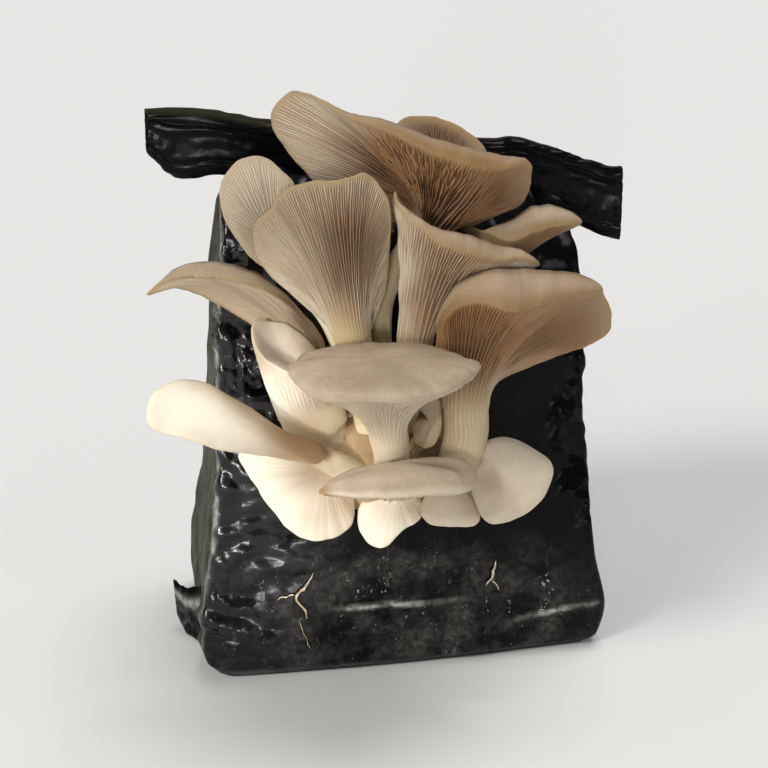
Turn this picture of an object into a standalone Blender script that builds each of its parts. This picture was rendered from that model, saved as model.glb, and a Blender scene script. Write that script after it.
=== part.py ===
"""Elm oyster mushroom grow kit: a black film bag packed round a block of substrate, with one cluster of
mushrooms growing out of a cut in the bag's front.

Metres, +Z up. The origin is on the floor under the middle of the bag, and the mushrooms face -Y. The bag is
laid out in the part's own axes. The mushrooms are laid out as they are seen from the front left, from a
little above: across, up and toward the viewer, in millimetres.
"""

import math

import bmesh
import bpy
import numpy as np
from mathutils import Vector

MM = 0.001

# How the cluster is seen: the viewer's bearing and height, the distance and the point looked at. The cluster
# stands a little nearer than its own figures say, so that it clears the bag.
VIEW_AZIMUTH = math.radians(-12)
VIEW_ELEVATION = math.radians(20)
VIEW_DISTANCE = 1000.0
VIEW_CENTRE = np.array([-12.4, -81.8, 167.1])
CLUSTER_FORWARD = 10.0

# The gap that touching pieces keep, the places on each stretch of a smooth curve, and the angle in degrees
# above which an edge is a crease.
CLEARANCE = 0.35
CURVE_STEPS = 12
CREASE_ANGLE = 40

# Bag, in millimetres.
BAG_FILM = 1.2
BAG_COLUMNS_FRONT = 9
BAG_COLUMNS_SIDE = 6
BAG_SIDE_PLEAT = 3.0
BAG_FRONT_BULGE = 4.0
BAG_BACK_NARROWING = 9.0

# Substrate block inside the bag: its gap to the film, how far it stands in from the bag's outside at the
# sides and at the top, and its height.
BLOCK_GAP = 0.5
BLOCK_INSET = 4.7
BLOCK_TOP_INSET = 8.0
BLOCK_TOP = 212.0

# Cut in the bag's front that the cluster grows out of, and the cluster's base behind it.
CLUSTER_CENTRE = np.array([-6.0, -61.0, 121.0])
CLUSTER_RADII = np.array([42.0, 24.0, 29.0])
OPENING_RADII = np.array([49.0, 34.0, 36.0])
LUMP_HEIGHT = 1.8
LUMP_WIDTHS = (5.0, 4.5, 9.0)

# Caps and stems. The gill side leaves the neck along the stem and bends over toward the margin: the shares
# say how far it rises, how far it reaches and where it bends. The gill rows are (share of the way, share of
# depth).
GILL_DEPTH = 1.5
GILL_ROWS = ((0.3, 0.9), (0.68, 1.0))
SKIN_ROWS = (0.72, 0.36)
RIM_THICKNESS = 1.2
RIM_OVERHANG = 0.6
NECK_RISE = 0.38
NECK_REACH = 0.5
MARGIN_BEND = 0.35
THIN_SHARE = 0.35
FULL_LENGTH_SHARE = 0.6
EVENING = 2
FACING_SHARE = 0.75
HEART_SHARE = 0.12
FAN_BULGE = 8.0
STEM_SIDES = 8


def view_axes():
    """Right, up and toward the viewer, as unit vectors."""
    toward = np.array(
        [
            math.sin(VIEW_AZIMUTH) * math.cos(VIEW_ELEVATION),
            -math.cos(VIEW_AZIMUTH) * math.cos(VIEW_ELEVATION),
            math.sin(VIEW_ELEVATION),
        ]
    )
    right = np.array([math.cos(VIEW_AZIMUTH), math.sin(VIEW_AZIMUTH), 0.0])
    return right, np.cross(toward, right), toward


RIGHT, UP, TOWARD = view_axes()


def seen(across, up, toward):
    """The place in the part's axes, in mm, of a point laid out as it is seen."""
    toward = toward + CLUSTER_FORWARD
    shrink = 1 - toward / VIEW_DISTANCE
    return VIEW_CENTRE + (across * RIGHT + up * UP) * shrink + toward * TOWARD


def direction(across, up, toward):
    """The unit vector of a direction given as it is seen."""
    vector = across * RIGHT + up * UP + toward * TOWARD
    return vector / np.linalg.norm(vector)


# Each mushroom: its stem from foot to neck as (across, up, toward, radius), and the margin of its cap, where
# the gills end, as (across, up, toward), clockwise as seen. skin_side is the side that its skin is on. crest
# says how far the skin stands beyond some points of the margin. gills is the number of gill ridges, and flesh
# the cap's thickness near its middle. dish is 1 where the skin follows the gill side down to the stem and 0
# where it is level. dome lifts its middle, and flat is how deep the stem is for its width. heart is where the
# gills of a cap that spreads to one side of its stem meet, and bend how far such a cap arches up.
MUSHROOMS = {
    "top": {
        "stem": [
            (5, -18, -34, 5), (1, 0, -27, 5), (-1, 22, -19, 5), (0, 44, -12, 5.5), (9, 62, -6, 6.5),
            (22, 76, 1, 8),
        ],
        "margin": [
            (20, 78, -10), (5, 80, -10), (-22, 90, -5), (-41, 108, 3), (-54, 125, 8), (-56, 134, 10),
            (-52, 141, 12), (-46, 145, 15), (-37, 144, 20), (-17, 133, 28), (0, 127, 31), (16, 120, 32),
            (36, 112, 30), (53, 108, 25), (70, 109, 16), (73, 103, 7), (69, 90, -6), (54, 83, -11),
            (38, 78, -12),
        ],
        "crest": {
            9: (0, 3, -4), 10: (0, 6, -8), 11: (0, 8, -11), 12: (0, 9, -12), 13: (0, 9, -11),
            14: (0, 4, -7),
        },
        "skin_side": (0.0, 0.75, -0.65),
        "gills": 28,
        "flesh": 7.0,
    },
    "rear": {
        "stem": [
            (15, -16, -34, 4), (18, 20, -26, 4), (21.5, 55, -22, 4), (25, 88, -23, 4), (26, 101, -20, 4.5),
        ],
        "heart": (26, 107, -18),
        "margin": [
            (26, 103, -17), (15, 107, -16), (7, 114, -17), (4.5, 122, -18), (7, 129, -20),
            (13, 132.5, -22), (21, 133, -23), (29, 131.5, -23), (37, 128.5, -22), (44, 124, -20),
            (50, 118, -17), (51, 111, -15), (46, 105, -14), (36, 102, -15),
        ],
        "skin_side": (0.0, 0.45, -0.9),
        "gills": 12,
        "flesh": 3.0,
    },
    "upper_left": {
        "stem": [
            (-16, -16, -32, 3.5), (-20, 8, -21, 3.5), (-28, 30, -14, 3.5), (-41, 47, -8, 3.5),
            (-50, 60, -1, 4.5),
        ],
        "heart": (-53, 66, 5),
        "margin": [
            (-50, 60, 0), (-58, 58, 6), (-66, 63, 12), (-73, 72, 17), (-79, 82, 20), (-81.5, 92, 22),
            (-80, 102, 24), (-74, 110, 25), (-66, 113, 25), (-58, 112, 24), (-51, 106, 23),
            (-45, 99, 22), (-42, 88, 17), (-43, 72, 6),
        ],
        "skin_side": (-0.1, 0.3, -1.0),
        "gills": 14,
        "flesh": 4.0,
    },
    "centre_left": {
        "stem": [(-8, -22, -24, 6.5), (-10, -4, -14, 7.5), (-13, 10, -4, 8.5), (-15.5, 22, -1, 9.2)],
        "margin": [
            (-16, 28, -5), (-27, 30, -5), (-34, 34, -3), (-46, 44, 3), (-55, 52, 11), (-61.5, 60, 18),
            (-64.5, 68, 23), (-65, 75, 27), (-63, 81, 30), (-56, 87, 34), (-54, 92, 36), (-47, 97, 39),
            (-36, 100, 42), (-26, 100.5, 44), (-16, 102, 45), (-11, 104, 45), (-6, 102, 43),
            (0, 94, 41), (2.5, 87, 37), (3, 76, 31), (2.5, 65, 23), (1.5, 54, 15), (-0.5, 43, 8),
            (-3.5, 34, 1), (-7, 29, -4),
        ],
        "skin_side": (0.0, 0.45, -0.9),
        "gills": 28,
        "flesh": 6.0,
    },
    "centre_right": {
        "stem": [(9, -22, -25, 6.5), (12, -4, -17, 7.5), (14, 10, -9, 8), (15.5, 22, -2, 9)],
        "margin": [
            (30, 68, 4), (22, 75, 13), (11, 86, 24), (5, 95, 33), (6, 90, 37), (14, 81, 40),
            (21, 76.5, 41), (28, 71, 41), (36, 67, 40), (45, 64, 37), (55, 62, 32), (66, 62.5, 26),
            (77, 60, 18), (76, 59, 12), (66, 61, 7), (54, 63, 3), (42, 65, 2),
        ],
        "crest": {
            5: (0, 5, -5), 6: (0, 5, -6), 7: (1, 7, -8), 8: (1, 9, -9), 9: (0, 10, -10), 10: (0, 9, -9),
            11: (0, 6, -7),
        },
        "skin_side": (0.25, 1.0, -0.1),
        "gills": 24,
        "flesh": 5.0,
    },
    "right_rear": {
        "stem": [
            (21, -20, -33, 4.5), (29, -2, -28, 4.5), (38, 20, -24, 5), (48, 40, -18, 5),
            (56, 55, -10, 6),
        ],
        "margin": [
            (54, 70, -17), (42, 76, -13), (39, 77, -8), (43, 78, -4), (50, 76, 1), (58, 73, 6),
            (65, 72, 9), (74, 75, 10), (84, 78, 9), (92, 79.5, 7), (97, 79, 2), (96, 79, -4),
            (88, 78, -11), (72, 75, -16),
        ],
        "crest": {
            5: (0, 8, -10), 6: (0, 12, -13), 7: (0, 14, -13), 8: (0, 12, -12), 9: (1, 8, -9),
            10: (1, 4, -5),
        },
        "skin_side": (0.0, 1.0, 0.1),
        "gills": 14,
        "flesh": 4.0,
    },
    "right": {
        "stem": [(26, -32, -30, 7), (36, -31, -20, 9), (40.5, -22, -12, 9.3), (41, -10, -3, 11.5)],
        "margin": [
            (38, 2, -14), (27, 12, -6), (26, 21, 6), (28, 28, 22), (32, 34, 32), (39, 39.5, 38),
            (47, 41, 42), (55, 39, 44), (62, 37.5, 43), (70, 38, 40), (82, 41, 35), (94, 44, 29),
            (104, 45.5, 23), (109, 45, 18), (112, 40, 13), (113, 32, 8), (111.5, 25, 4), (102, 19, 0),
            (90, 15, -4), (79, 11, -8), (68, 7, -12), (57, 3, -15), (48, 1, -17),
        ],
        "crest": {
            3: (-2, 3, -5), 4: (-2, 7, -8), 5: (-2, 11, -10), 6: (-1, 14, -11), 7: (1, 18, -12),
            8: (1, 20, -13), 9: (0, 20, -14), 10: (1, 16, -13), 11: (2, 12, -11), 12: (2, 6, -8),
        },
        "skin_side": (0.0, 0.8, -0.6),
        "gills": 28,
        "flesh": 6.0,
    },
    "front": {
        "stem": [(5, -46, -27, 7), (4, -43, -14, 8.5), (3.5, -34, 2, 9), (2, -24, 15, 9.5)],
        "margin": [
            (-5, 19, 14), (-20, 18, 17), (-32, 14, 24), (-40, 8, 34), (-43.5, 0, 46), (-38, -5.5, 58),
            (-30, -8.5, 68), (-20, -9, 76), (-8, -8.5, 82), (5, -9, 84), (18, -8.5, 81), (30, -5.5, 75),
            (40, -1, 65), (46.5, 6, 51), (42, 11, 36), (31, 16, 24), (16, 19, 16),
        ],
        "crest": {
            2: (-4, 3, -2), 3: (-4, 4, -2), 4: (-4.5, 6.5, 0), 5: (-3.5, 5.5, 2), 6: (-2, 5.5, 3),
            7: (-1, 4, 3), 8: (0, 2.5, 3),
        },
        "skin_side": (0.0, 0.95, 0.3),
        "gills": 24,
        "flesh": 5.0,
        "dish": 0.0,
        "dome": 2.0,
    },
    "left_inner": {
        "stem": [(-16, -33, -30, 10), (-31, -27, -22, 15), (-37, -12, -12, 17)],
        "margin": [
            (-34, 15, -4), (-39, 21, -1), (-46, 27, 3), (-53, 31, 6), (-60, 31.5, 10), (-65, 30, 14),
            (-66.5, 26, 17), (-65, 19, 20), (-61, 13, 22), (-56, 9, 22), (-48, 5, 19), (-40, 0, 13),
            (-30, -2, 5), (-25, 3, -2), (-29, 10, -5),
        ],
        "skin_side": (0.1, 0.95, 0.1),
        "gills": 18,
        "flesh": 3.0,
        "flat": 0.5,
    },
    "left_horn": {
        "stem": [(-24, -18, -30, 4), (-27, 2, -22, 4), (-34, 18.5, -14, 4.5), (-44, 27, -8, 4.2)],
        "heart": (-51, 32, 0),
        "margin": [
            (-41, 29, -12), (-44, 36, -5), (-52, 43, 6), (-61, 47.5, 12), (-70, 50, 17),
            (-79, 51.5, 21), (-88, 53, 25), (-97, 53, 29), (-105, 51.5, 33), (-112, 49, 37),
            (-118, 44.5, 41), (-112, 46, 33), (-106, 48, 24.5), (-99, 47, 18), (-93, 44.5, 14),
            (-86, 41, 10), (-79, 37, 7), (-72, 33, 4.5), (-65, 30, 1.5), (-57, 26, -1), (-49, 24, -6),
        ],
        "crest": {
            2: (0, 6, -7), 3: (0, 7, -8), 4: (0, 8, -9), 5: (0, 9, -9), 6: (0, 9, -9), 7: (0, 8, -8),
            8: (0, 6, -6), 9: (0, 3, -4),
        },
        "skin_side": (-0.1, 0.75, -0.65),
        "gills": 16,
        "flesh": 3.5,
        "bend": 7.0,
    },
    "lower_left": {
        "stem": [
            (-8, -52, -30, 5), (-12, -52, -14, 5), (-20, -47, -1, 6), (-33, -37, 6, 6.5),
            (-46, -34, 9, 6.5),
        ],
        "heart": (-50, -30, 12),
        "margin": [
            (-46, -25, 4), (-56, -20, 10), (-66, -13, 16), (-75, -7.5, 22), (-83, -3, 27), (-91, 0, 31),
            (-99, 1, 35), (-107, 0, 40), (-114, -4.5, 46), (-118, -12, 52), (-117, -21, 55),
            (-110, -24.5, 54), (-100, -27.5, 51), (-90, -30.5, 46), (-81, -33, 41), (-72, -34.5, 35),
            (-63, -35, 28), (-54, -36, 21), (-45, -37, 14), (-40, -31, 7),
        ],
        "skin_side": (0.0, 1.0, 0.25),
        "gills": 16,
        "flesh": 4.0,
    },
    "hanging_left": {
        "stem": [(-8, -36, -36, 5.5), (-18, -40, -30, 5.5), (-27, -43, -18, 6)],
        "heart": (-30, -43, -12),
        "margin": [
            (-34, -35, -17), (-46, -33, -17), (-57, -30, -17), (-69, -33, -15), (-72, -37, -14),
            (-67, -46, -12), (-61, -55, -10), (-55, -63, -8), (-50, -69.5, -7), (-43, -74.5, -6),
            (-34.5, -77.5, -6), (-27, -77, -7), (-20.5, -73.5, -9), (-16, -69, -11), (-15, -62, -13),
            (-16, -54, -14), (-18, -45, -15), (-24, -37, -16),
        ],
        "skin_side": (0.0, 0.1, -1.0),
        "gills": 20,
        "flesh": 4.0,
    },
    "hanging_centre": {
        "stem": [(4, -58, -38, 4), (4, -60, -31, 4), (4, -61, -18, 4.5)],
        "heart": (4, -61, -15),
        "margin": [
            (4, -55, -20), (-5, -56, -19), (-12, -61, -17), (-12.5, -68, -14), (-10.5, -75, -11),
            (-6.5, -79.5, -9), (-1.5, -81.5, -8), (2.5, -80, -8), (7, -75.5, -9), (11, -72, -10),
            (15, -69.5, -11), (18, -66, -13), (19, -60, -16), (13, -56, -19),
        ],
        "skin_side": (0.0, 0.2, -1.0),
        "gills": 14,
        "flesh": 3.0,
    },
    "front_curl": {
        "stem": [(20, -46, -24, 6), (18, -48, -12, 6), (14, -50, -2, 6), (11, -51.5, 7, 6.5)],
        "margin": [
            (10, -45, 10), (-4, -47, 13), (-16, -48, 16), (-25, -51, 21), (-32.5, -54.5, 27),
            (-22, -56, 31), (-6, -57, 34), (11, -57, 35), (23, -56, 34), (36, -55, 31), (43, -53.5, 26),
            (45.5, -49, 19), (42, -45, 14), (30, -44, 10),
        ],
        "crest": {
            2: (0, 3, 0), 1: (0, 3, 0), 0: (0, 3, 0), 13: (0, 5, 1), 12: (0, 5, 0), 11: (0, 2, 0),
        },
        "skin_side": (0.0, 1.0, -0.1),
        "gills": 14,
        "flesh": 6.0,
        "dish": 0.0,
        "dome": 3.0,
    },
    "lower_right": {
        "stem": [(24, -48, -34, 6.5), (40, -50, -30, 6.5), (56, -48, -21, 6.5)],
        "margin": [
            (46, -36, -15), (50, -30, -13), (58, -27, -11), (66, -28, -9), (75, -32.5, -8),
            (82, -37.5, -8), (84.5, -43, -7), (83, -50, -6), (78.5, -58, -5), (70, -65, -5),
            (60, -69, -5), (53, -69.5, -6), (48, -64, -9), (45, -54, -12), (44, -44, -14),
        ],
        "skin_side": (0.1, 0.25, 1.0),
        "gills": 14,
        "flesh": 5.0,
        "dish": 0.0,
        "dome": 3.0,
    },
    "lower_middle": {
        "stem": [(20, -60, -34, 4.5), (27, -61, -26, 4.5), (33, -62, -18, 5)],
        "margin": [
            (32, -53, -16), (24, -54, -15), (20.5, -58, -13), (19.5, -65, -11), (23, -69.5, -9),
            (28, -71, -8), (35, -71.5, -7.5), (42, -71.5, -8), (46, -70, -9), (47.5, -66, -11),
            (45, -58, -14), (40, -54, -16),
        ],
        "skin_side": (0.0, 0.3, 1.0),
        "gills": 10,
        "flesh": 4.0,
        "dish": 0.0,
        "dome": 1.5,
    },
    "shaded": {
        "stem": [(14, -34, -28, 4), (17, -30, -22, 4), (21, -25, -14, 5)],
        "margin": [
            (22, -15, -14), (18, -11, -11), (20, -8, -8), (25, -7, -5), (28, -9, -4), (29, -16, -3),
            (28.5, -24, -4), (25, -30, -5), (20, -32, -6), (15, -28, -7), (15, -20, -11),
        ],
        "skin_side": (0.5, 0.5, 0.6),
        "gills": 8,
        "flesh": 3.0,
        "dish": 0.0,
        "dome": 1.0,
    },
}

# A piece that presses against a neighbour is cut back from it by the clearance.
PRESSED = [
    ("stem_left_horn", "stem_left_inner"),
    ("stem_left_horn", "cap_left_inner"),
    ("stem_left_horn", "cap_left_horn"),
    ("stem_upper_left", "cap_upper_left"),
    ("stem_lower_left", "cap_hanging_left"),
    ("stem_lower_left", "cap_lower_left"),
    ("stem_hanging_left", "cap_hanging_left"),
    ("stem_hanging_left", "stem_left_inner"),
    ("stem_hanging_centre", "cap_hanging_centre"),
    ("stem_left_inner", "cap_hanging_left"),
]


def clear_scene():
    for obj in list(bpy.data.objects):
        bpy.data.objects.remove(obj, do_unlink=True)


def material(name, colour, roughness):
    made = bpy.data.materials.get(name)
    if made is None:
        made = bpy.data.materials.new(name)
        made.use_nodes = True
        shader = made.node_tree.nodes["Principled BSDF"]
        shader.inputs["Base Color"].default_value = (*colour, 1.0)
        shader.inputs["Roughness"].default_value = roughness
        shader.inputs["Metallic"].default_value = 0.0
    return made


def add_object(name, points, faces, finish, helper=False):
    """An object from points in millimetres and faces as lists of point numbers."""
    mesh = bpy.data.meshes.new(name)
    mesh.from_pydata([Vector(point) * MM for point in points], [], faces)
    mesh.update()
    mesh.shade_smooth()
    mesh.set_sharp_from_angle(angle=math.radians(CREASE_ANGLE))
    obj = bpy.data.objects.new(name, mesh)
    bpy.context.scene.collection.objects.link(obj)
    if finish is not None:
        mesh.materials.append(finish)
    if helper:
        obj.hide_render = True
        obj.display_type = "WIRE"
    return obj


def grown_copy(obj, gap):
    """A hidden cutter of the object's shape, grown by the gap all round."""
    mesh = obj.data.copy()
    cutter = bpy.data.objects.new(obj.name + "_clearance", mesh)
    bpy.context.scene.collection.objects.link(cutter)
    for vertex in mesh.vertices:
        vertex.co += vertex.normal * (gap * MM)
    cutter.hide_render = True
    cutter.display_type = "WIRE"
    return cutter


def boolean(obj, other, operation):
    modifier = obj.modifiers.new(operation.title() + " " + other.name, "BOOLEAN")
    modifier.operation = operation
    modifier.solver = "EXACT"
    modifier.object = other


def catmull_rom(points, count, closed):
    """The smooth curve through the points, as count places evenly spaced along it."""
    points = np.asarray(points, float)
    if closed:
        rows = [points[(np.arange(len(points)) + shift) % len(points)] for shift in (-1, 0, 1, 2)]
    else:
        held = np.vstack([2 * points[0] - points[1], points, 2 * points[-1] - points[-2]])
        rows = [held[shift: shift + len(points) - 1] for shift in range(4)]
    before, start, end, after = rows
    dense = []
    for step in range(CURVE_STEPS):
        t = step / CURVE_STEPS
        dense.append(
            0.5
            * (
                2 * start
                + (end - before) * t
                + (2 * before - 5 * start + 4 * end - after) * t * t
                + (3 * start - before - 3 * end + after) * t ** 3
            )
        )
    dense = np.stack(dense, axis=1).reshape(-1, points.shape[1])
    dense = np.vstack([dense, points[:1] if closed else points[-1:]])
    lengths = np.linalg.norm(np.diff(dense[:, :3], axis=0), axis=1)
    along = np.concatenate([[0], np.cumsum(lengths)])
    wanted = np.linspace(0, along[-1], count, endpoint=not closed)
    return np.stack([np.interp(wanted, along, column) for column in dense.T], axis=1)


def unit(vector):
    return vector / np.linalg.norm(vector, axis=-1, keepdims=True)


def ring_axes(axis):
    """Two unit vectors across an axis, the first as level as it can be."""
    across = unit(np.cross(axis, TOWARD))
    return across, unit(np.cross(axis, across))


class Cap:
    """The smooth surfaces of one cap, from its neck over the gills and the margin to the skin's middle."""

    def __init__(self, spec, columns):
        path = np.array([[*seen(*point[:3]), point[3]] for point in spec["stem"]])
        self.neck = path[-1, :3]
        self.neck_radius = path[-1, 3]
        self.axis = unit(path[-1, :3] - path[-2, :3])
        self.skin_side = direction(*spec["skin_side"])
        self.flesh = spec["flesh"]
        self.dish = spec.get("dish", 1.0)
        self.dome = spec.get("dome", 0.0)
        self.flat = spec.get("flat", 1.0)
        rows = []
        for index, point in enumerate(spec["margin"]):
            across, up, toward = spec.get("crest", {}).get(index, (0, 0, 0))
            own = across * RIGHT + up * UP + toward * TOWARD
            rows.append([*seen(*point), *own, 1.0 if index in spec.get("crest", {}) else 0.0])
        rows = catmull_rom(rows, columns, closed=True)
        self.margin = rows[:, :3]
        self.heart = seen(*spec["heart"]) if "heart" in spec else None
        self.bend = spec.get("bend", 0.0)
        self.ring = self.neck_ring(columns)
        self.lengths = np.linalg.norm(self.margin - self.ring, axis=1)
        outward = unit(self.margin - self.underside(0.9))
        plain = self.inward(1.0) * RIM_THICKNESS + outward * RIM_OVERHANG
        self.crest = self.margin + rows[:, 3:6] + plain * (1 - np.clip(rows[:, 6:], 0, 1))

    def neck_ring(self, columns):
        """Points round the neck, each on the side that its point of the margin is on."""
        if self.heart is not None:
            return self.heart + (self.margin - self.heart) * HEART_SHARE
        across, other = ring_axes(self.axis)
        flat = np.stack([(self.margin - self.neck) @ across, (self.margin - self.neck) @ other], axis=1)
        facing = np.unwrap(np.arctan2(flat[:, 1], flat[:, 0]))
        turned = np.roll(flat, -1, axis=0)
        winding = np.sign((flat[:, 0] * turned[:, 1] - flat[:, 1] * turned[:, 0]).sum())
        even = winding * 2 * math.pi * np.arange(columns) / columns
        rising = np.maximum.accumulate(winding * (facing - facing[0]))
        rising = winding * np.minimum(rising, 2 * math.pi * (1 - 1 / columns))
        angles = facing[0] + rising * FACING_SHARE + even * (1 - FACING_SHARE)
        return (
            self.neck
            + self.neck_radius * np.outer(np.cos(angles), across)
            + self.neck_radius * self.flat * np.outer(np.sin(angles), other)
        )

    def underside(self, t):
        """The gill surface at a share t of the way from the neck to the margin."""
        if self.heart is not None:
            span = self.margin - self.ring
            length = np.linalg.norm(span, axis=1)
            share = (length / length.max()) ** 2
            arch = np.outer(self.bend * 4 * t * (1 - t) * share, UP)
            return self.ring + span * t - self.skin_side * FAN_BULGE * t * (1 - t) + arch
        rise = self.ring + self.axis * (NECK_RISE * self.lengths)[:, None]
        inner = self.ring + self.axis * (NECK_REACH * self.lengths)[:, None]
        bend = self.margin + (inner - self.margin) * MARGIN_BEND
        return (
            (1 - t) ** 3 * self.ring
            + 3 * (1 - t) ** 2 * t * rise
            + 3 * (1 - t) * t ** 2 * bend
            + t ** 3 * self.margin
        )

    def relief(self, t):
        """The unit vector out of the gill surface, away from the skin."""
        if self.heart is not None:
            return np.tile(-self.skin_side, (len(self.margin), 1))
        here = self.underside(t)
        along = self.underside(min(t + 0.04, 1.0)) - self.underside(max(t - 0.04, 0.0))
        around = np.roll(here, -1, axis=0) - np.roll(here, 1, axis=0)
        normal = unit(np.cross(around, along) + 1e-9)
        edge_along = self.underside(1.0) - self.underside(0.9)
        edge_around = np.roll(self.margin, -1, axis=0) - np.roll(self.margin, 1, axis=0)
        edge = np.cross(edge_around, edge_along).sum(axis=0)
        return normal if edge @ self.skin_side < 0 else -normal

    def inward(self, t):
        """The unit vector from the gill surface into the flesh, evened out round the cap."""
        normal = -self.relief(t)
        return unit(sum(np.roll(normal, shift, axis=0) for shift in range(-EVENING, EVENING + 1)))

    def skin(self, t):
        """The skin at a share t of the way from the cap's middle to its crest."""
        thin_share = THIN_SHARE if self.heart is None else 1.0
        share = np.clip(self.lengths / (FULL_LENGTH_SHARE * self.lengths.max()), thin_share, 1.0)
        thickness = RIM_THICKNESS + (self.flesh - RIM_THICKNESS) * math.sqrt(1 - t * t)
        followed = self.underside(t) + (self.crest - self.margin) * t * t
        followed += self.inward(t) * (thickness * share * (1 - t * t))[:, None]
        middle = self.crest.mean(axis=0) + self.skin_side * self.dome
        level = middle + (self.crest - middle) * t + self.skin_side * self.dome * t * (1 - t)
        return followed * self.dish + level * (1 - self.dish)


def add_cap(name, spec, finish):
    """The cap: gill ridges on its underside, a margin, and skin with half as many columns."""
    columns = 2 * spec["gills"]
    cap = Cap(spec, columns)
    rows = [cap.ring]
    for t, depth in GILL_ROWS:
        row = cap.underside(t).copy()
        row[::2] += cap.relief(t)[::2] * GILL_DEPTH * depth
        rows.append(row)
    rows.append(cap.margin)
    points = [point for row in rows for point in row]
    faces = []
    for row in range(len(rows) - 1):
        for column in range(columns):
            following = (column + 1) % columns
            low = row * columns
            faces.append([low + column, low + columns + column, low + columns + following, low + following])
    if cap.heart is None:
        faces.append(list(range(columns)))
    else:
        faces.extend([column, (column + 1) % columns, len(points)] for column in range(columns))
        points.append(cap.heart)
    half = columns // 2
    margin_start = (len(rows) - 1) * columns
    skin_start = len(points)
    skin_rows = [cap.crest[::2]] + [cap.skin(t)[::2] for t in SKIN_ROWS]
    for row in skin_rows:
        points.extend(row)
    for column in range(half):
        following = (column + 1) % half
        first = margin_start + 2 * column
        last = margin_start + (2 * column + 2) % columns
        faces.append([first, skin_start + column, first + 1])
        faces.append([first + 1, skin_start + column, skin_start + following])
        faces.append([first + 1, skin_start + following, last])
    for row in range(len(skin_rows) - 1):
        for column in range(half):
            following = (column + 1) % half
            low = skin_start + row * half
            faces.append([low + column, low + half + column, low + half + following, low + following])
    innermost = skin_start + (len(skin_rows) - 1) * half
    points.append(skin_rows[-1].mean(axis=0))
    for column in range(half):
        faces.append([innermost + column, len(points) - 1, innermost + (column + 1) % half])
    return add_closed("cap_" + name, points, faces, finish)


def add_stem(name, spec, finish):
    """The stem: a tube along its own path that ends just short of the cap."""
    path = np.array([[*seen(*point[:3]), point[3]] for point in spec["stem"]])
    axis = unit(path[-1, :3] - path[-2, :3])
    path[-1, :3] -= axis * CLEARANCE
    path = catmull_rom(path, len(path) + 1, closed=False)
    depth = spec.get("flat", 1.0)
    points = []
    for index, row in enumerate(path):
        before = path[max(index - 1, 0), :3]
        after = path[min(index + 1, len(path) - 1), :3]
        tangent = axis if index == len(path) - 1 else unit(after - before)
        across, other = ring_axes(tangent)
        for side in range(STEM_SIDES):
            angle = 2 * math.pi * side / STEM_SIDES
            points.append(row[:3] + row[3] * (math.cos(angle) * across + depth * math.sin(angle) * other))
    faces = [list(range(STEM_SIDES)), list(range(len(points) - STEM_SIDES, len(points)))]
    for row in range(len(path) - 1):
        for side in range(STEM_SIDES):
            following = (side + 1) % STEM_SIDES
            low = row * STEM_SIDES
            faces.append([low + side, low + STEM_SIDES + side, low + STEM_SIDES + following, low + following])
    return add_closed("stem_" + name, points, faces, finish)


def add_closed(name, points, faces, finish, helper=False):
    """A closed mesh whose faces are turned to point outward."""
    obj = add_object(name, points, faces, finish, helper)
    turn_outward(obj.data)
    return obj


def turn_outward(mesh):
    work = bmesh.new()
    work.from_mesh(mesh)
    bmesh.ops.recalc_face_normals(work, faces=work.faces)
    if work.calc_volume(signed=True) < 0:
        bmesh.ops.reverse_faces(work, faces=work.faces)
    work.to_mesh(mesh)
    work.free()


# The bag's outline at each height: height, left and right ends of the front, front and back, and how much
# the level drops toward the right.
BAG_LEVELS = [
    (0.0, -98, 104, -60, 54, 0),
    (7.0, -104, 111, -65, 59, 0),
    (24.0, -106, 114, -66, 60, 0),
    (55.0, -102, 108, -65, 60, 0),
    (95.0, -96, 104, -62, 58, 0),
    (140.0, -93, 101, -58, 55, 0),
    (185.0, -92, 100, -53, 50, -3),
    (222.0, -87, 97, -46, 42, -10),
    (246.0, -82, 90, -28, 26, -14),
    (262.0, -78, 86, -10, 6, -16),
]


def bag_ring(level, inset=0.0):
    """Points round the bag at one level, with creased front corners and a pleat down each side."""
    height, left, right, front, back, drop = level
    left, right = left + inset, right - inset
    front, back = front + inset, back - inset
    depth = back - front
    bulge = BAG_FRONT_BULGE if inset == 0 else BAG_FRONT_BULGE / 2
    points = []
    for index in range(BAG_COLUMNS_FRONT):
        share = index / BAG_COLUMNS_FRONT
        points.append((left + (right - left) * share, front - bulge * math.sin(math.pi * share)))
    for index in range(BAG_COLUMNS_SIDE):
        share = index / BAG_COLUMNS_SIDE
        pleat = BAG_SIDE_PLEAT * math.sin(math.pi * share) ** 2
        points.append((right - BAG_BACK_NARROWING * share ** 2 - pleat, front + depth * share))
    for index in range(BAG_COLUMNS_FRONT):
        share = index / BAG_COLUMNS_FRONT
        ends = (right - BAG_BACK_NARROWING, left + BAG_BACK_NARROWING)
        points.append((ends[0] + (ends[1] - ends[0]) * share, back + bulge * math.sin(math.pi * share)))
    for index in range(BAG_COLUMNS_SIDE):
        share = index / BAG_COLUMNS_SIDE
        pleat = BAG_SIDE_PLEAT * math.sin(math.pi * share) ** 2
        points.append((left + BAG_BACK_NARROWING * (1 - share) ** 2 + pleat, back - depth * share))
    middle = (left + right) / 2
    return [(x, y, height + drop * (x - middle) / 100) for x, y in points]


def loft(rings):
    """Points and faces of rings of equal counts joined in order and closed at both ends."""
    count = len(rings[0])
    points = [point for ring in rings for point in ring]
    faces = [list(range(count)), list(range(len(points) - count, len(points)))]
    for row in range(len(rings) - 1):
        for column in range(count):
            following = (column + 1) % count
            low = row * count
            faces.append([low + column, low + count + column, low + count + following, low + following])
    return points, faces


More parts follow.
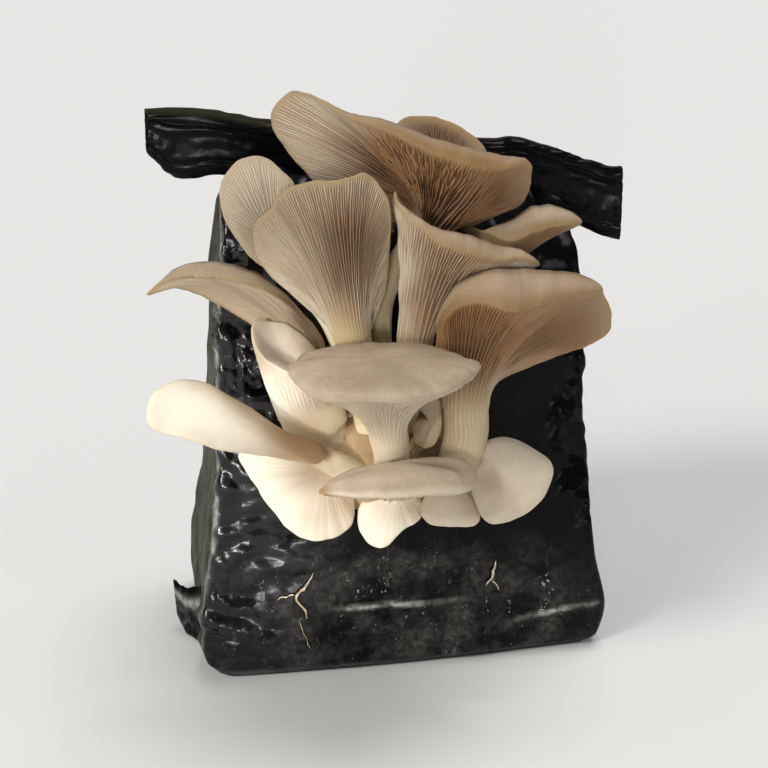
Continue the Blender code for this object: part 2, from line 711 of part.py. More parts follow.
# The folded top, from the left wing's end to the right wing's: across, depth, height, half height and half
# thickness of each section.
FOLDED_TOP = [
    (-119, -4, 284, 11, 3.5),
    (-104, -5, 277, 18, 5.5),
    (-84, -8, 277, 16, 7),
    (-56, -10, 272, 15, 8),
    (0, -9, 265, 15, 8),
    (58, -10, 258, 14, 8),
    (72, -12, 257, 16, 7.5),
    (98, -16, 247, 18, 6.5),
    (119, -22, 238, 18, 4.5),
    (127, -25, 235, 19, 3.5),
]


def add_bag(finish, block):
    """The film: a bag with a folded top, hollow where the block stands and open at the cluster."""
    points, faces = loft([bag_ring(level) for level in BAG_LEVELS])
    bag = add_closed("bag", points, faces, finish)
    sections = []
    for across, depth, height, half_height, half_thickness in FOLDED_TOP:
        outline = [(-0.5, 1), (0.5, 1), (1, 0.7), (1, -0.7), (0.5, -1), (-0.5, -1), (-1, -0.7), (-1, 0.7)]
        sections.append(
            [(across, depth + side * half_thickness, height + up * half_height) for side, up in outline]
        )
    points, faces = loft(sections)
    folded = add_closed("folded_top", points, faces, None, helper=True)
    boolean(bag, folded, "UNION")
    ear = add_closed("corner_ear", *loft(ear_sections()), None, helper=True)
    boolean(bag, ear, "UNION")
    cavity = grown_copy(block, BLOCK_GAP)
    cavity.name = "block_cavity"
    boolean(bag, cavity, "DIFFERENCE")
    opening = add_ellipsoid("cluster_opening", CLUSTER_CENTRE, OPENING_RADII, 2, None, helper=True)
    boolean(bag, opening, "DIFFERENCE")
    return bag


def ear_sections():
    """The loose corner of film that stands out at the lower left, as a thin wedge."""
    return [
        [(-97, -24, 1), (-97, -12, 1), (-97, -10, 30), (-97, -22, 26)],
        [(-106, -10, 1), (-106, -5, 1), (-107, -4, 26), (-107, -9, 24)],
        [(-112, 2, 9), (-112, 5, 9), (-113, 6, 27), (-113, 3, 26)],
    ]


def add_ellipsoid(name, centre, radii, subdivisions, finish, helper=False):
    work = bmesh.new()
    bmesh.ops.create_icosphere(work, subdivisions=subdivisions, radius=1.0)
    points = [np.array(vertex.co) * radii + centre for vertex in work.verts]
    faces = [[vertex.index for vertex in face.verts] for face in work.faces]
    work.free()
    return add_closed(name, points, faces, finish, helper)


def add_block(finish):
    """The block of substrate that fills the bag."""
    rings = []
    for level in BAG_LEVELS[:7:2]:
        height = max(level[0], BAG_FILM + BLOCK_GAP)
        rings.append(bag_ring((height, *level[1:]), inset=BLOCK_INSET))
    rings.append(bag_ring((BLOCK_TOP, *BAG_LEVELS[7][1:]), inset=BLOCK_TOP_INSET))
    points, faces = loft(rings)
    return add_closed("substrate_block", points, faces, finish)


def add_cluster_base(finish, block):
    """The swelling that the stems rise from, grown against the block."""
    base = add_ellipsoid("cluster_base", CLUSTER_CENTRE, CLUSTER_RADII, 3, finish)
    across, upward, slant = LUMP_WIDTHS
    for vertex in base.data.vertices:
        x, _, z = vertex.co / MM
        lump = LUMP_HEIGHT * math.sin(x / across) * math.cos(z / upward + x / slant)
        vertex.co += vertex.normal * (lump * MM)
    boolean(base, grown_copy(block, CLEARANCE), "DIFFERENCE")
    return base


def main():
    clear_scene()
    film = material("black film", (0.012, 0.012, 0.013), 0.22)
    straw = material("substrate", (0.52, 0.38, 0.22), 0.9)
    flesh = material("stem flesh", (0.78, 0.70, 0.55), 0.6)
    gill = material("cap", (0.55, 0.42, 0.31), 0.6)
    block = add_block(straw)
    add_bag(film, block)
    base = add_cluster_base(flesh, block)
    clearance = grown_copy(base, CLEARANCE)
    for name, spec in MUSHROOMS.items():
        add_cap(name, spec, gill)
        boolean(add_stem(name, spec, flesh), clearance, "DIFFERENCE")
    for piece, neighbour in PRESSED:
        boolean(bpy.data.objects[piece], grown_copy(bpy.data.objects[neighbour], CLEARANCE), "DIFFERENCE")


main()
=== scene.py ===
"""Elm oyster mushroom grow kit: a black film bag with a cluster of mushrooms growing out of its front.

Lengths are in millimetres until a mesh is made, and metres after that. The bag is laid out in the part's
own axes. The mushrooms are laid out as they are seen in the photograph: across, up and toward the viewer.
"""

import math

import bpy
import numpy as np
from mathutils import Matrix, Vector
from mathutils.bvhtree import BVHTree


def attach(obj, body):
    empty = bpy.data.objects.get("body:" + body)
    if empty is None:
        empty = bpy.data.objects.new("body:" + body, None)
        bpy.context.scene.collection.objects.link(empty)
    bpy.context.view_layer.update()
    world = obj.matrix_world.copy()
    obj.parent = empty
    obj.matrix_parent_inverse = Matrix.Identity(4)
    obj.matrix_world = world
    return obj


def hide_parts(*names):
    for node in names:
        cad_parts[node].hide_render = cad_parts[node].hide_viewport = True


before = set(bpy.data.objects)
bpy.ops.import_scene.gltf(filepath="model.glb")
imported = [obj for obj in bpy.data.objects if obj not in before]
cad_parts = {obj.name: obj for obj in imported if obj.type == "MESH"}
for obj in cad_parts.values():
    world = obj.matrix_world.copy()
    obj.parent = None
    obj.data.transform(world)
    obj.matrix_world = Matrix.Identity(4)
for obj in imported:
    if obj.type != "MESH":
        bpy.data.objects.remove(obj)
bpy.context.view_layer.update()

MM = 0.001

# A pixel of the photograph is half a millimetre at that point.
VIEW_AZIMUTH = math.radians(-12)
VIEW_ELEVATION = math.radians(20)
VIEW_DISTANCE = 1000.0
VIEW_CENTRE = np.array([-12.4, -81.8, 167.1])
PHOTO_MIDDLE = 384
PIXEL = 0.5
SENSOR = 36.0
CLUSTER_FORWARD = 10.0
CURVE_STEPS = 24

# The noise that all unevenness comes from: after how many cells it repeats, how strong it is, and how far its
# layers lie from each other.
NOISE_CELLS = 256
NOISE_GAIN = 1.6
LAYER_SHIFT = 17.3

# The light: each lamp's name, the place in metres that it shines from, how far it spreads in degrees, its
# strength and its colour. A low sun lights the lower left of the cluster, round a pixel of the photograph.
# The floor is a square of twice the half size.
WORLD_LIGHT = 0.22
LIGHTS = (
    ("key", (-1.15, -0.7, 0.95), 16.0, 1.5, (1.0, 0.98, 0.95)),
    ("overhead", (0.25, 0.1, 1.5), 30.0, 1.35, (1.0, 1.0, 1.0)),
    ("window", (-0.38, -1.15, 0.13), 11.0, 0.95, (1.0, 0.99, 0.98)),
    ("left_gleam", (-0.9, -0.9, 0.45), 7.0, 0.25, (1.0, 0.99, 0.98)),
    ("right_gleam", (0.7, -1.15, 0.25), 4.0, 0.18, (1.0, 1.0, 1.0)),
)
SUN_PLACE = (-0.85, -1.05, 0.38)
SUN_PIXEL = (236, 450)
SUN_FORWARD = 5
SUN_SPREAD = math.radians(8)
SUN_BLEND = 0.35
SUN_SIZE = 0.03
SUN_ENERGY = 40.0
SUN_COLOUR = (1.0, 0.98, 0.94)
FLOOR_HALF = 20.0
FLOOR_COLOUR = (0.82, 0.82, 0.81, 1.0)

# Gills: how deep they are in mm, where each kind begins on the way from the neck to the margin, how much that
# and their heights vary, their depth at the neck, over what share of the way they rise and grow, where their
# number doubles and trebles, and their depth for the room between them. The places are a gill's edge, sides
# and valley across it, with their heights.
GILL_RELIEF = 1.5
GILL_STARTS = (-0.3, 0.55, 0.22, 0.6)
GILL_START_RANGE = (-0.08, 0.12)
GILL_HEIGHT_RANGE = (0.75, 1.15)
GILL_AT_NECK = 0.24
GILL_FADE = 0.14
GILL_GROWN = 0.3
GILL_DOUBLED = 0.25
GILL_TREBLED = 0.57
GILL_ROOM = 1.1
GILL_PLACES = (0.0, 0.22, 0.5, 0.78)
GILL_HEIGHTS = (1.0, 0.3, 0.0, 0.3)
GILL_SUNK = 0.2
GILL_SWAY = 9
GILL_ROWS = 26

# The margin and the skin: how the margin's length is measured, how long its waves and lifts are, how wide the
# bare edge is, how the rim swells between gills and skin, where the skin's rows are, and how uneven it is.
ROUGH_POINTS = 200
MARGIN_WAVE = 90
MARGIN_LIFT = 70
EDGE_WIDTH = 5.0
RIM_ROWS = 4
RIM_SWELL = (0.9, 0.1)
RIM_LIMIT = 0.35
SKIN_ROWS = (0.93, 0.83, 0.7, 0.55, 0.38, 0.2)
SKIN_LUMP = 0.5
SKIN_LUMP_SIZE = 18

# The cap's build, as in the solids: how the gill side meets the margin, how thick the flesh is, and from
# which nearby places the surfaces' directions are read.
RIM_THICKNESS = 1.2
RIM_OVERHANG = 0.6
MARGIN_BEND = 0.35
THIN_SHARE = 0.35
FULL_LENGTH_SHARE = 0.6
FACING_SHARE = 0.75
HEART_SHARE = 0.12
RELIEF_STEP = 0.04
NEAR_EDGE = 0.9
EVENED_PART = 12

# Stems: their sides and rows, how wide the ridges of the gills are, how far down they run and how much they
# flatten. The ridges sway and are uneven, and the stem swells, each as (strength, times round, length in mm),
# and the sway and the swelling begin over a few mm from the neck. Each cap and stem has a seed of its own,
# counted on from these.
STEM_SIDES = 120
STEM_STEP = 1.8
STEM_RIDGE_WIDTH = 0.45
STEM_RIDGE_FADE = 38.0
STEM_FLATTENED = 0.8
STEM_SWAY = (0.12, 1.5, 16)
STEM_SWAY_FROM = 8
STEM_RIDGE_LEAST = 0.7
STEM_UNEVEN = (0.6, 7, 30)
STEM_SWELL = (0.05, 0.8, 22)
STEM_SWELL_FROM = 4
WAY_DOWN_STEM = 60
CAP_SEED = 11
STEM_SEED = 71

# Each mushroom: its stem from foot to neck as (across, up, toward, radius), and the margin of its cap, where
# the gills end, as (across, up, toward), clockwise as seen. skin_side is the side that its skin is on. crest
# says how far the skin stands beyond some points of the margin, and flesh how thick the cap is near its
# middle. dish is 1 where the skin follows the gill side down to the stem and 0 where it is level. dome lifts
# its middle, and a smaller round fills the dome out. flat is how deep the stem is for its width. rise and
# reach say how far the gill side runs on along the stem before it turns out to the margin. heart is where the
# gills of a cap that spreads to one side of its stem meet, bulge how far such a cap's gill side swells out,
# and bend how far it arches up.
MUSHROOMS = {
    "top": {
        "stem": [
            (5, -18, -34, 5), (1, 0, -27, 5), (-1, 22, -19, 5), (0, 44, -12, 5.5), (9, 62, -6, 6.5),
            (22, 76, 1, 8),
        ],
        "margin": [
            (20, 78, -10), (5, 80, -10), (-22, 90, -5), (-41, 108, 3), (-54, 125, 8), (-56, 134, 10),
            (-52, 141, 12), (-46, 145, 15), (-37, 144, 20), (-17, 133, 28), (0, 127, 31), (16, 120, 32),
            (36, 112, 30), (53, 108, 25), (70, 109, 16), (73, 103, 7), (69, 90, -6), (54, 83, -11),
            (38, 78, -12),
        ],
        "crest": {
            9: (0, 3, -4), 10: (0, 6, -8), 11: (0, 8, -11), 12: (0, 9, -12), 13: (0, 9, -11),
            14: (0, 4, -7),
        },
        "skin_side": (0.0, 0.75, -0.65),
        "flesh": 7.0,
        "rise": 0.2,
        "reach": 0.28,
    },
    "rear": {
        "stem": [
            (15, -16, -34, 4), (18, 20, -26, 4), (21.5, 55, -22, 4), (25, 88, -23, 4), (26, 101, -20, 4.5),
        ],
        "heart": (26, 107, -18),
        "margin": [
            (26, 103, -17), (15, 107, -16), (7, 114, -17), (4.5, 122, -18), (7, 129, -20),
            (13, 132.5, -22), (21, 133, -23), (29, 131.5, -23), (37, 128.5, -22), (44, 124, -20),
            (50, 118, -17), (51, 111, -15), (46, 105, -14), (36, 102, -15),
        ],
        "skin_side": (0.0, 0.45, -0.9),
        "flesh": 3.0,
    },
    "upper_left": {
        "stem": [
            (-16, -16, -32, 3.5), (-20, 8, -21, 3.5), (-28, 30, -14, 3.5), (-41, 47, -8, 3.5),
            (-50, 60, -1, 4.5),
        ],
        "heart": (-53, 66, 5),
        "margin": [
            (-50, 60, 0), (-58, 58, 6), (-66, 63, 12), (-73, 72, 17), (-79, 82, 20), (-81.5, 92, 22),
            (-80, 102, 24), (-74, 110, 25), (-66, 113, 25), (-58, 112, 24), (-51, 106, 23),
            (-45, 99, 22), (-42, 88, 17), (-43, 72, 6),
        ],
        "skin_side": (-0.1, 0.3, -1.0),
        "flesh": 4.0,
    },
    "centre_left": {
        "stem": [(-8, -22, -24, 6.5), (-10, -4, -14, 7.5), (-13, 10, -4, 8.5), (-15.5, 22, -1, 9.2)],
        "margin": [
            (-16, 28, -5), (-27, 30, -5), (-34, 34, -3), (-46, 44, 3), (-55, 52, 11), (-61.5, 60, 18),
            (-64.5, 68, 23), (-65, 75, 27), (-63, 81, 30), (-56, 87, 34), (-54, 92, 36), (-47, 97, 39),
            (-36, 100, 42), (-26, 100.5, 44), (-16, 102, 45), (-11, 104, 45), (-6, 102, 43),
            (0, 94, 41), (2.5, 87, 37), (3, 76, 31), (2.5, 65, 23), (1.5, 54, 15), (-0.5, 43, 8),
            (-3.5, 34, 1), (-7, 29, -4),
        ],
        "skin_side": (0.0, 0.45, -0.9),
        "flesh": 6.0,
    },
    "centre_right": {
        "stem": [(9, -22, -25, 6.5), (12, -4, -17, 7.5), (14, 10, -9, 8), (15.5, 22, -2, 9)],
        "margin": [
            (30, 68, 4), (22, 75, 13), (11, 86, 24), (5, 95, 33), (6, 90, 37), (14, 81, 40),
            (21, 76.5, 41), (28, 71, 41), (36, 67, 40), (45, 64, 37), (55, 62, 32), (66, 62.5, 26),
            (77, 60, 18), (76, 59, 12), (66, 61, 7), (54, 63, 3), (42, 65, 2),
        ],
        "crest": {
            5: (0, 5, -5), 6: (0, 5, -6), 7: (1, 7, -8), 8: (1, 9, -9), 9: (0, 10, -10), 10: (0, 9, -9),
            11: (0, 6, -7),
        },
        "skin_side": (0.25, 1.0, -0.1),
        "flesh": 5.0,
    },
    "right_rear": {
        "stem": [
            (21, -20, -33, 4.5), (29, -2, -28, 4.5), (38, 20, -24, 5), (48, 40, -18, 5),
            (56, 55, -10, 6),
        ],
        "margin": [
            (54, 70, -17), (42, 76, -13), (39, 77, -8), (43, 78, -4), (50, 76, 1), (58, 73, 6),
            (65, 72, 9), (74, 75, 10), (84, 78, 9), (92, 79.5, 7), (97, 79, 2), (96, 79, -4),
            (88, 78, -11), (72, 75, -16),
        ],
        "crest": {
            5: (0, 8, -10), 6: (0, 12, -13), 7: (0, 14, -13), 8: (0, 12, -12), 9: (1, 8, -9),
            10: (1, 4, -5),
        },
        "skin_side": (0.0, 1.0, 0.1),
        "flesh": 4.0,
    },
    "right": {
        "stem": [(30, -45, -25, 9), (37, -39, -16, 10.5), (40.5, -26, -9, 11), (41, -10, -3, 11.5)],
        "margin": [
            (38, 2, -14), (27, 12, -6), (26, 21, 6), (28, 28, 22), (32, 34, 32), (39, 39.5, 38),
            (47, 41, 42), (55, 39, 44), (62, 37.5, 43), (70, 38, 40), (82, 41, 35), (94, 44, 29),
            (104, 45.5, 23), (109, 45, 18), (112, 40, 13), (113, 32, 8), (111.5, 25, 4), (102, 19, 0),
            (90, 15, -4), (79, 11, -8), (68, 7, -12), (57, 3, -15), (48, 1, -17),
        ],
        "crest": {
            3: (-2, 3, -5), 4: (-2, 7, -8), 5: (-2, 11, -10), 6: (-1, 14, -11), 7: (1, 18, -12),
            8: (1, 20, -13), 9: (0, 20, -14), 10: (1, 16, -13), 11: (2, 12, -11), 12: (2, 6, -8),
        },
        "skin_side": (0.0, 0.8, -0.6),
        "flesh": 6.0,
    },
    "front": {
        "stem": [(5, -46, -27, 7), (4, -43, -14, 8.5), (3.5, -34, 2, 9), (2, -24, 15, 9.5)],
        "margin": [
            (-5, 19, 14), (-20, 18, 17), (-32, 14, 24), (-40, 8, 34), (-43.5, 0, 46), (-38, -5.5, 58),
            (-30, -8.5, 68), (-20, -9, 76), (-8, -8.5, 82), (5, -9, 84), (18, -8.5, 81), (30, -5.5, 75),
            (40, -1, 65), (46.5, 6, 51), (42, 11, 36), (31, 16, 24), (16, 19, 16),
        ],
        "crest": {
            2: (-4, 3, -2), 3: (-4, 4, -2), 4: (-4.5, 6.5, 0), 5: (-3.5, 5.5, 2), 6: (-2, 5.5, 3),
            7: (-1, 4, 3), 8: (0, 3, 3), 9: (0, 3, 3), 10: (0, 3, 2.5), 11: (0.5, 3, 2), 12: (1, 3.5, 2),
            13: (1, 4, 1),
        },
        "skin_side": (0.0, 0.95, 0.3),
        "flesh": 5.0,
        "dish": 0.0,
        "dome": 5.0,
        "round": 0.6,
    },
    "left_inner": {
        "stem": [(-16, -33, -30, 10), (-31, -27, -22, 15), (-37, -12, -12, 17)],
        "margin": [
            (-33, 17, -2), (-38, 22.5, 0), (-45, 28, 3), (-52, 31, 6), (-60, 31.5, 10), (-65, 30, 14),
            (-66.5, 26, 17), (-65, 19, 20), (-61, 13, 22), (-56, 9, 22), (-48, 5, 19), (-40, 0, 13),
            (-30, -2, 5), (-25, 3, -2), (-28, 11, -4),
        ],
        "skin_side": (0.1, 0.95, 0.1),
        "flesh": 3.0,
        "flat": 0.5,
        "dish": 0.25,
        "dome": 1.0,
    },
    "left_horn": {
        "stem": [(-24, -18, -30, 4), (-27, 2, -22, 4), (-33, 15, -15, 4.5), (-38, 20, -10, 4.2)],
        "heart": (-36, 19, -4),
        "margin": [
            (-32, 24, -12), (-40, 34, -5), (-50, 41.5, 5), (-61, 47.5, 12), (-70, 50, 17),
            (-79, 51.5, 21), (-88, 53, 25), (-97, 53, 29), (-105, 51.5, 33), (-112, 49, 37),
            (-118, 44.5, 41), (-112, 46, 35), (-106, 48, 28), (-99, 47, 22), (-93, 44.5, 18),
            (-86, 41, 13), (-79, 37, 9), (-72, 33, 5.5), (-65, 29, 2), (-56, 23, -1), (-46, 17, -5),
            (-36, 13, -9), (-30, 17, -12),
        ],
        "crest": {
            2: (0, 4, -5), 3: (0, 7, -8), 4: (0, 8, -9), 5: (0, 9, -9), 6: (0, 9, -9), 7: (0, 8, -8),
            8: (0, 6, -6), 9: (0, 3, -4),
        },
        "skin_side": (-0.1, 0.75, -0.65),
        "flesh": 3.5,
        "bend": 15.0,
    },
    "lower_left": {
        "stem": [(-8, -46, -30, 7), (-14, -44, -16, 7), (-24, -40, -8, 6.5), (-37, -34.5, -3, 5)],
        "heart": (-36, -34, 6),
        "margin": [
            (-34, -30, 1), (-45, -26, 4), (-56, -20, 10), (-66, -13, 16), (-75, -7.5, 22),
            (-83, -3, 27), (-91, 0, 31), (-99, 1, 35), (-107, 0, 40), (-114, -4.5, 46),
            (-118, -12, 52), (-117, -21, 55), (-110, -24.5, 54), (-100, -27.5, 51),
            (-90, -30.5, 46), (-81, -33, 41), (-72, -34.5, 35), (-63, -35.5, 28), (-54, -37, 21),
            (-44, -38.5, 14), (-34, -39.5, 8), (-29, -35, 2),
        ],
        "skin_side": (0.12, 0.55, 0.78),
        "flesh": 5.0,
        "bulge": 0.0,
        "dish": 0.0,
        "dome": 5.0,
        "round": 0.8,
    },
    "hanging_left": {
        "stem": [(-8, -36, -36, 5.5), (-18, -40, -30, 5.5), (-27, -43, -18, 6)],
        "heart": (-30, -43, -12),
        "margin": [
            (-34, -35, -17), (-46, -33, -17), (-57, -30, -17), (-69, -33, -15), (-72, -37, -14),
            (-67, -46, -12), (-61, -55, -10), (-55, -63, -8), (-50, -69.5, -7), (-43, -74.5, -6),
            (-34.5, -77.5, -6), (-27, -77, -7), (-20.5, -73.5, -9), (-16, -69, -11), (-15, -62, -13),
            (-16, -54, -14), (-18, -45, -15), (-24, -37, -16),
        ],
        "skin_side": (0.0, 0.1, -1.0),
        "flesh": 4.0,
    },
    "hanging_centre": {
        "stem": [(4, -52, -38, 4), (4, -53, -31, 4), (4, -54, -22, 4.5)],
        "heart": (6, -52, -15),
        "margin": [
            (4, -50, -20), (-5, -53, -18), (-11, -60, -16), (-12.5, -68, -14), (-10.5, -75, -11),
            (-6.5, -79.5, -9), (-1.5, -81.5, -8), (2.5, -80, -8), (7, -75.5, -9), (11, -72, -10),
            (15, -69.5, -11), (18, -66, -13), (19, -59, -16), (13, -53, -19),
        ],
        "skin_side": (0.0, 0.2, -1.0),
        "flesh": 3.0,
    },
    "front_curl": {
        "stem": [(20, -46, -24, 6), (18, -48, -12, 6), (14, -50, -2, 6), (11, -51.5, 7, 6.5)],
        "margin": [
            (10, -45, 10), (-4, -47, 13), (-16, -48, 16), (-25, -51, 21), (-32.5, -54.5, 27),
            (-22, -56, 31), (-6, -57, 34), (11, -57, 35), (23, -56, 34), (36, -55, 31), (43, -53.5, 26),
            (45.5, -49, 19), (42, -45, 14), (30, -44, 10),
        ],
        "crest": {
            0: (0, 3, 0), 1: (0, 3, 0), 2: (0, 3, 0), 3: (0, 3, 0), 4: (1, 1.5, 0), 5: (0, 4, -1),
            6: (0, 6, -2), 7: (0, 7, -2), 8: (0, 8, -2), 9: (0, 8, -2), 10: (0, 6, -2), 11: (0, 4, 0),
            12: (0, 5, 0), 13: (0, 5, 1),
        },
        "skin_side": (0.0, 1.0, -0.1),
        "flesh": 6.0,
        "dish": 0.0,
        "dome": 6.5,
        "round": 0.5,
    },
    "lower_right": {
        "stem": [(24, -48, -34, 6.5), (40, -50, -30, 6.5), (56, -48, -21, 6.5)],
        "margin": [
            (46, -36, -15), (50, -30, -13), (58, -27, -11), (66, -28, -9), (75, -32.5, -8),
            (82, -37.5, -8), (84.5, -43, -7), (83, -50, -6), (78.5, -58, -5), (70, -65, -5),
            (60, -69, -5), (53, -69.5, -6), (48, -64, -9), (45, -54, -12), (44, -44, -14),
        ],
        "skin_side": (0.1, 0.25, 1.0),
        "flesh": 5.0,
        "dish": 0.0,
        "dome": 6.0,
        "round": 0.6,
    },
    "lower_middle": {
        "stem": [(20, -60, -34, 4.5), (27, -61, -26, 4.5), (33, -62, -18, 5)],
        "margin": [
            (32, -53, -16), (24, -54, -15), (20.5, -58, -13), (19.5, -65, -11), (23, -69.5, -9),
            (28, -71, -8), (35, -71.5, -7.5), (42, -71.5, -8), (46, -70, -9), (47.5, -66, -11),
            (45, -58, -14), (40, -54, -16),
        ],
        "skin_side": (0.0, 0.3, 1.0),
        "flesh": 4.0,
        "dish": 0.0,
        "dome": 3.5,
        "round": 0.6,
    },
    "shaded": {
        "stem": [(14, -34, -28, 4), (17, -30, -22, 4), (21, -25, -14, 5)],
        "margin": [
            (22, -15, -14), (18, -11, -11), (20, -8, -8), (25, -7, -5), (28, -9, -4), (29, -16, -3),
            (28.5, -24, -4), (25, -30, -5), (20, -32, -6), (15, -28, -7), (15, -20, -11),
        ],
        "skin_side": (0.5, 0.5, 0.6),
        "flesh": 3.0,
        "dish": 0.0,
        "dome": 1.0,
    },
}

# What a cap has where its own row says nothing.
PLAIN_CAP = {
    "crest": {},
    "dish": 1.0,
    "dome": 0.0,
    "round": 1.0,
    "flat": 1.0,
    "rise": 0.38,
    "reach": 0.5,
    "bulge": 8.0,
    "bend": 0.0,
}

# How each mushroom looks beyond its shape. Its lists of spots are soft round spots on the photograph, as
# (across pixel, down pixel, radius, strength): the brown ones make the gills browner, partly their own colour
# and partly painted shade; the pale ones make the flesh paler, partly its own colour and partly painted
# light;
# the tan ones make it more tan, partly its own colour and partly painted shade; the smooth ones fade the
# gills out, and the ruffle ones make the gills sway more. pale and tan say how pale or tan the whole mushroom
# is, in the same way partly painted light and painted shade, ruffle how much its gills sway, relief how deep
# they are, and spacing how far apart in mm. wave is how uneven the margin is, rim how ochre it is, and even
# how far the skin is evened out.
LOOKS = {
    "top": {
        "brown_and_shade_spots": [(475, 190, 70, 1.0), (420, 165, 58, 1.0), (365, 145, 34, 0.4)],
        "pale_and_light_spots": [(300, 140, 34, 0.12)],
        "tan_and_shade_spots": [(350, 112, 24, 0.3), (400, 127, 28, 0.55), (450, 147, 32, 0.6), (500, 163, 32, 0.6)],
        "ruffle": 0.5,
        "ruffles": [(395, 148, 34, 0.9), (440, 168, 36, 0.9), (420, 185, 34, 0.5)],
        "smooths": [(508, 190, 30, 0.9), (296, 150, 26, 0.4)],
    },
    "rear": {"brown_and_shade_spots": [(440, 135, 60, 1.0)], "relief": 0.25},
    "upper_left": {"relief": 0.35, "pale": 0.22},
    "centre_left": {
        "brown_and_shade_spots": [(351, 232, 36, 0.75), (345, 275, 26, 0.45), (310, 230, 40, 0.15)],
        "pale_and_light_spots": [(285, 260, 34, 0.2)],
        "smooths": [(272, 262, 30, 0.45)],
        "relief": 0.7,
        "spacing": 1.35,
    },
    "centre_right": {
        "brown_and_shade_spots": [(452, 270, 40, 0.6)],
        "pale_and_light_spots": [(400, 270, 20, 0.4), (402, 320, 16, 0.3)],
        "tan_and_shade_spots": [(440, 238, 26, 0.35), (490, 252, 30, 0.4), (430, 320, 26, 0.5)],
        "smooths": [(398, 230, 14, 1.0), (398, 270, 15, 1.0), (399, 310, 13, 0.9)],
    },
    "right_rear": {
        "brown_and_shade_spots": [(540, 245, 60, 1.0)],
        "tan": 0.15,
        "relief": 0.5,
        "smooths": [(530, 236, 50, 0.8)],
        "tan_and_shade_spots": [(545, 243, 9, 0.5)],
    },
    "right": {
        "brown_and_shade_spots": [(455, 330, 44, 1.0), (495, 345, 55, 0.7), (575, 328, 55, 0.9)],
        "relief": 0.65,
        "tan": 0.2,
        "tan_and_shade_spots": [(480, 300, 40, 0.25), (560, 288, 40, 0.25)],
        "smooths": [(580, 325, 40, 1.0)],
    },
    "front": {
        "brown_and_shade_spots": [(425, 405, 20, 0.2)],
        "pale_and_light_spots": [(390, 440, 34, 0.45)],
        "smooths": [(335, 405, 34, 1.2)],
        "relief": 0.6,
        "rim": 0.0,
    },
    "left_inner": {
        "pale": 0.3,
        "pale_and_light_spots": [(290, 396, 26, 0.7), (275, 380, 20, 0.4), (276, 342, 18, 0.4)],
        "relief": 0.3,
        "smooths": [(300, 445, 26, 1.0)],
        "tan_and_shade_spots": [(300, 432, 26, 0.8), (258, 356, 14, 0.4), (306, 340, 20, 0.4), (332, 395, 22, 0.5)],
    },
    "left_horn": {"brown_and_shade_spots": [(300, 325, 16, 0.5)], "relief": 0.25, "tan": 0.12},
    "lower_left": {
        "pale": 0.3,
        "pale_and_light_spots": [(172, 402, 34, 0.6), (212, 416, 30, 0.6), (250, 432, 24, 0.5)],
        "even": 0.3,
        "relief": 0.0,
        "tan_and_shade_spots": [
            (306, 446, 32, 1.0), (280, 424, 20, 0.7), (258, 402, 20, 0.85), (236, 391, 15, 0.75),
            (214, 383, 12, 0.6), (194, 380, 10, 0.4),
        ],
    },
    "hanging_left": {
        "pale": 0.8,
        "relief": 0.22,
        "smooths": [(262, 480, 36, 1.4), (315, 525, 34, 0.9)],
        "tan_and_shade_spots": [(345, 500, 28, 0.75), (318, 462, 24, 0.6), (300, 478, 20, 0.3), (310, 520, 16, 0.3)],
    },
    "hanging_centre": {
        "pale": 0.85,
        "relief": 0.22,
        "smooths": [(375, 520, 24, 1.5)],
        "tan_and_shade_spots": [(412, 505, 16, 0.6), (375, 500, 14, 0.4)],
    },
    "front_curl": {
        "wave": 0.5,
        "rim": 0.0,
        "pale": 0.15,
        "brown_and_shade_spots": [(322, 492, 8, 1.0)],
        "tan_and_shade_spots": [(322, 493, 9, 0.9)],
    },
    "lower_right": {
        "wave": 0.4,
        "pale": 0.45,
        "rim": 0.1,
        "tan_and_shade_spots": [(486, 482, 15, 0.3), (512, 500, 26, 0.2)],
    },
    "lower_middle": {
        "wave": 0.4,
        "pale": 0.4,
        "rim": 0.1,
        "tan_and_shade_spots": [(470, 505, 12, 0.4), (428, 506, 10, 0.3)],
    },
    "shaded": {"brown_and_shade_spots": [(435, 430, 40, 0.9)]},
}

# What a look has where it says nothing.
PLAIN_LOOK = {
    "brown_and_shade_spots": (),
    "pale_and_light_spots": (),
    "tan_and_shade_spots": (),
    "smooths": (),
    "ruffles": (),
    "pale": 0.0,
    "tan": 0.0,
    "ruffle": 0.35,
    "relief": 1.0,
    "spacing": 1.6,
    "wave": 0.8,
    "rim": 1.0,
    "even": 0.05,
}

# The bag: how finely it is meshed round its front, sides and back and up its height, how often its corners
# are evened out, how far its sides pleat in, its front bulges and its back narrows, the shares of the way
# from the floor's middle at which the floor has rings, and the height below which the film lies smooth.
BAG_COLUMNS_FRONT = 150
BAG_COLUMNS_SIDE = 62
BAG_COLUMNS_BACK = 90
BAG_ROWS = 178
BAG_CORNER_PASSES = 3
BAG_SIDE_PLEAT = 3.0
BAG_FRONT_BULGE = 4.0
BAG_BACK_NARROWING = 9.0
BAG_FLOOR_SHARES = (0.97, 0.9, 0.75, 0.5, 0.2)
CALM_HEIGHT = 6

# Here and below, a pair named for where something starts is (start, reach), and a negative reach goes the
# other way. The lower left corner is lifted where both of its pairs are passed, up to a height where it ends.
CORNER_ACROSS = (-86.0, -20.0)
CORNER_DEPTH = (-35, -20)
CORNER_LIFT = 5.0
CORNER_TOP = 40

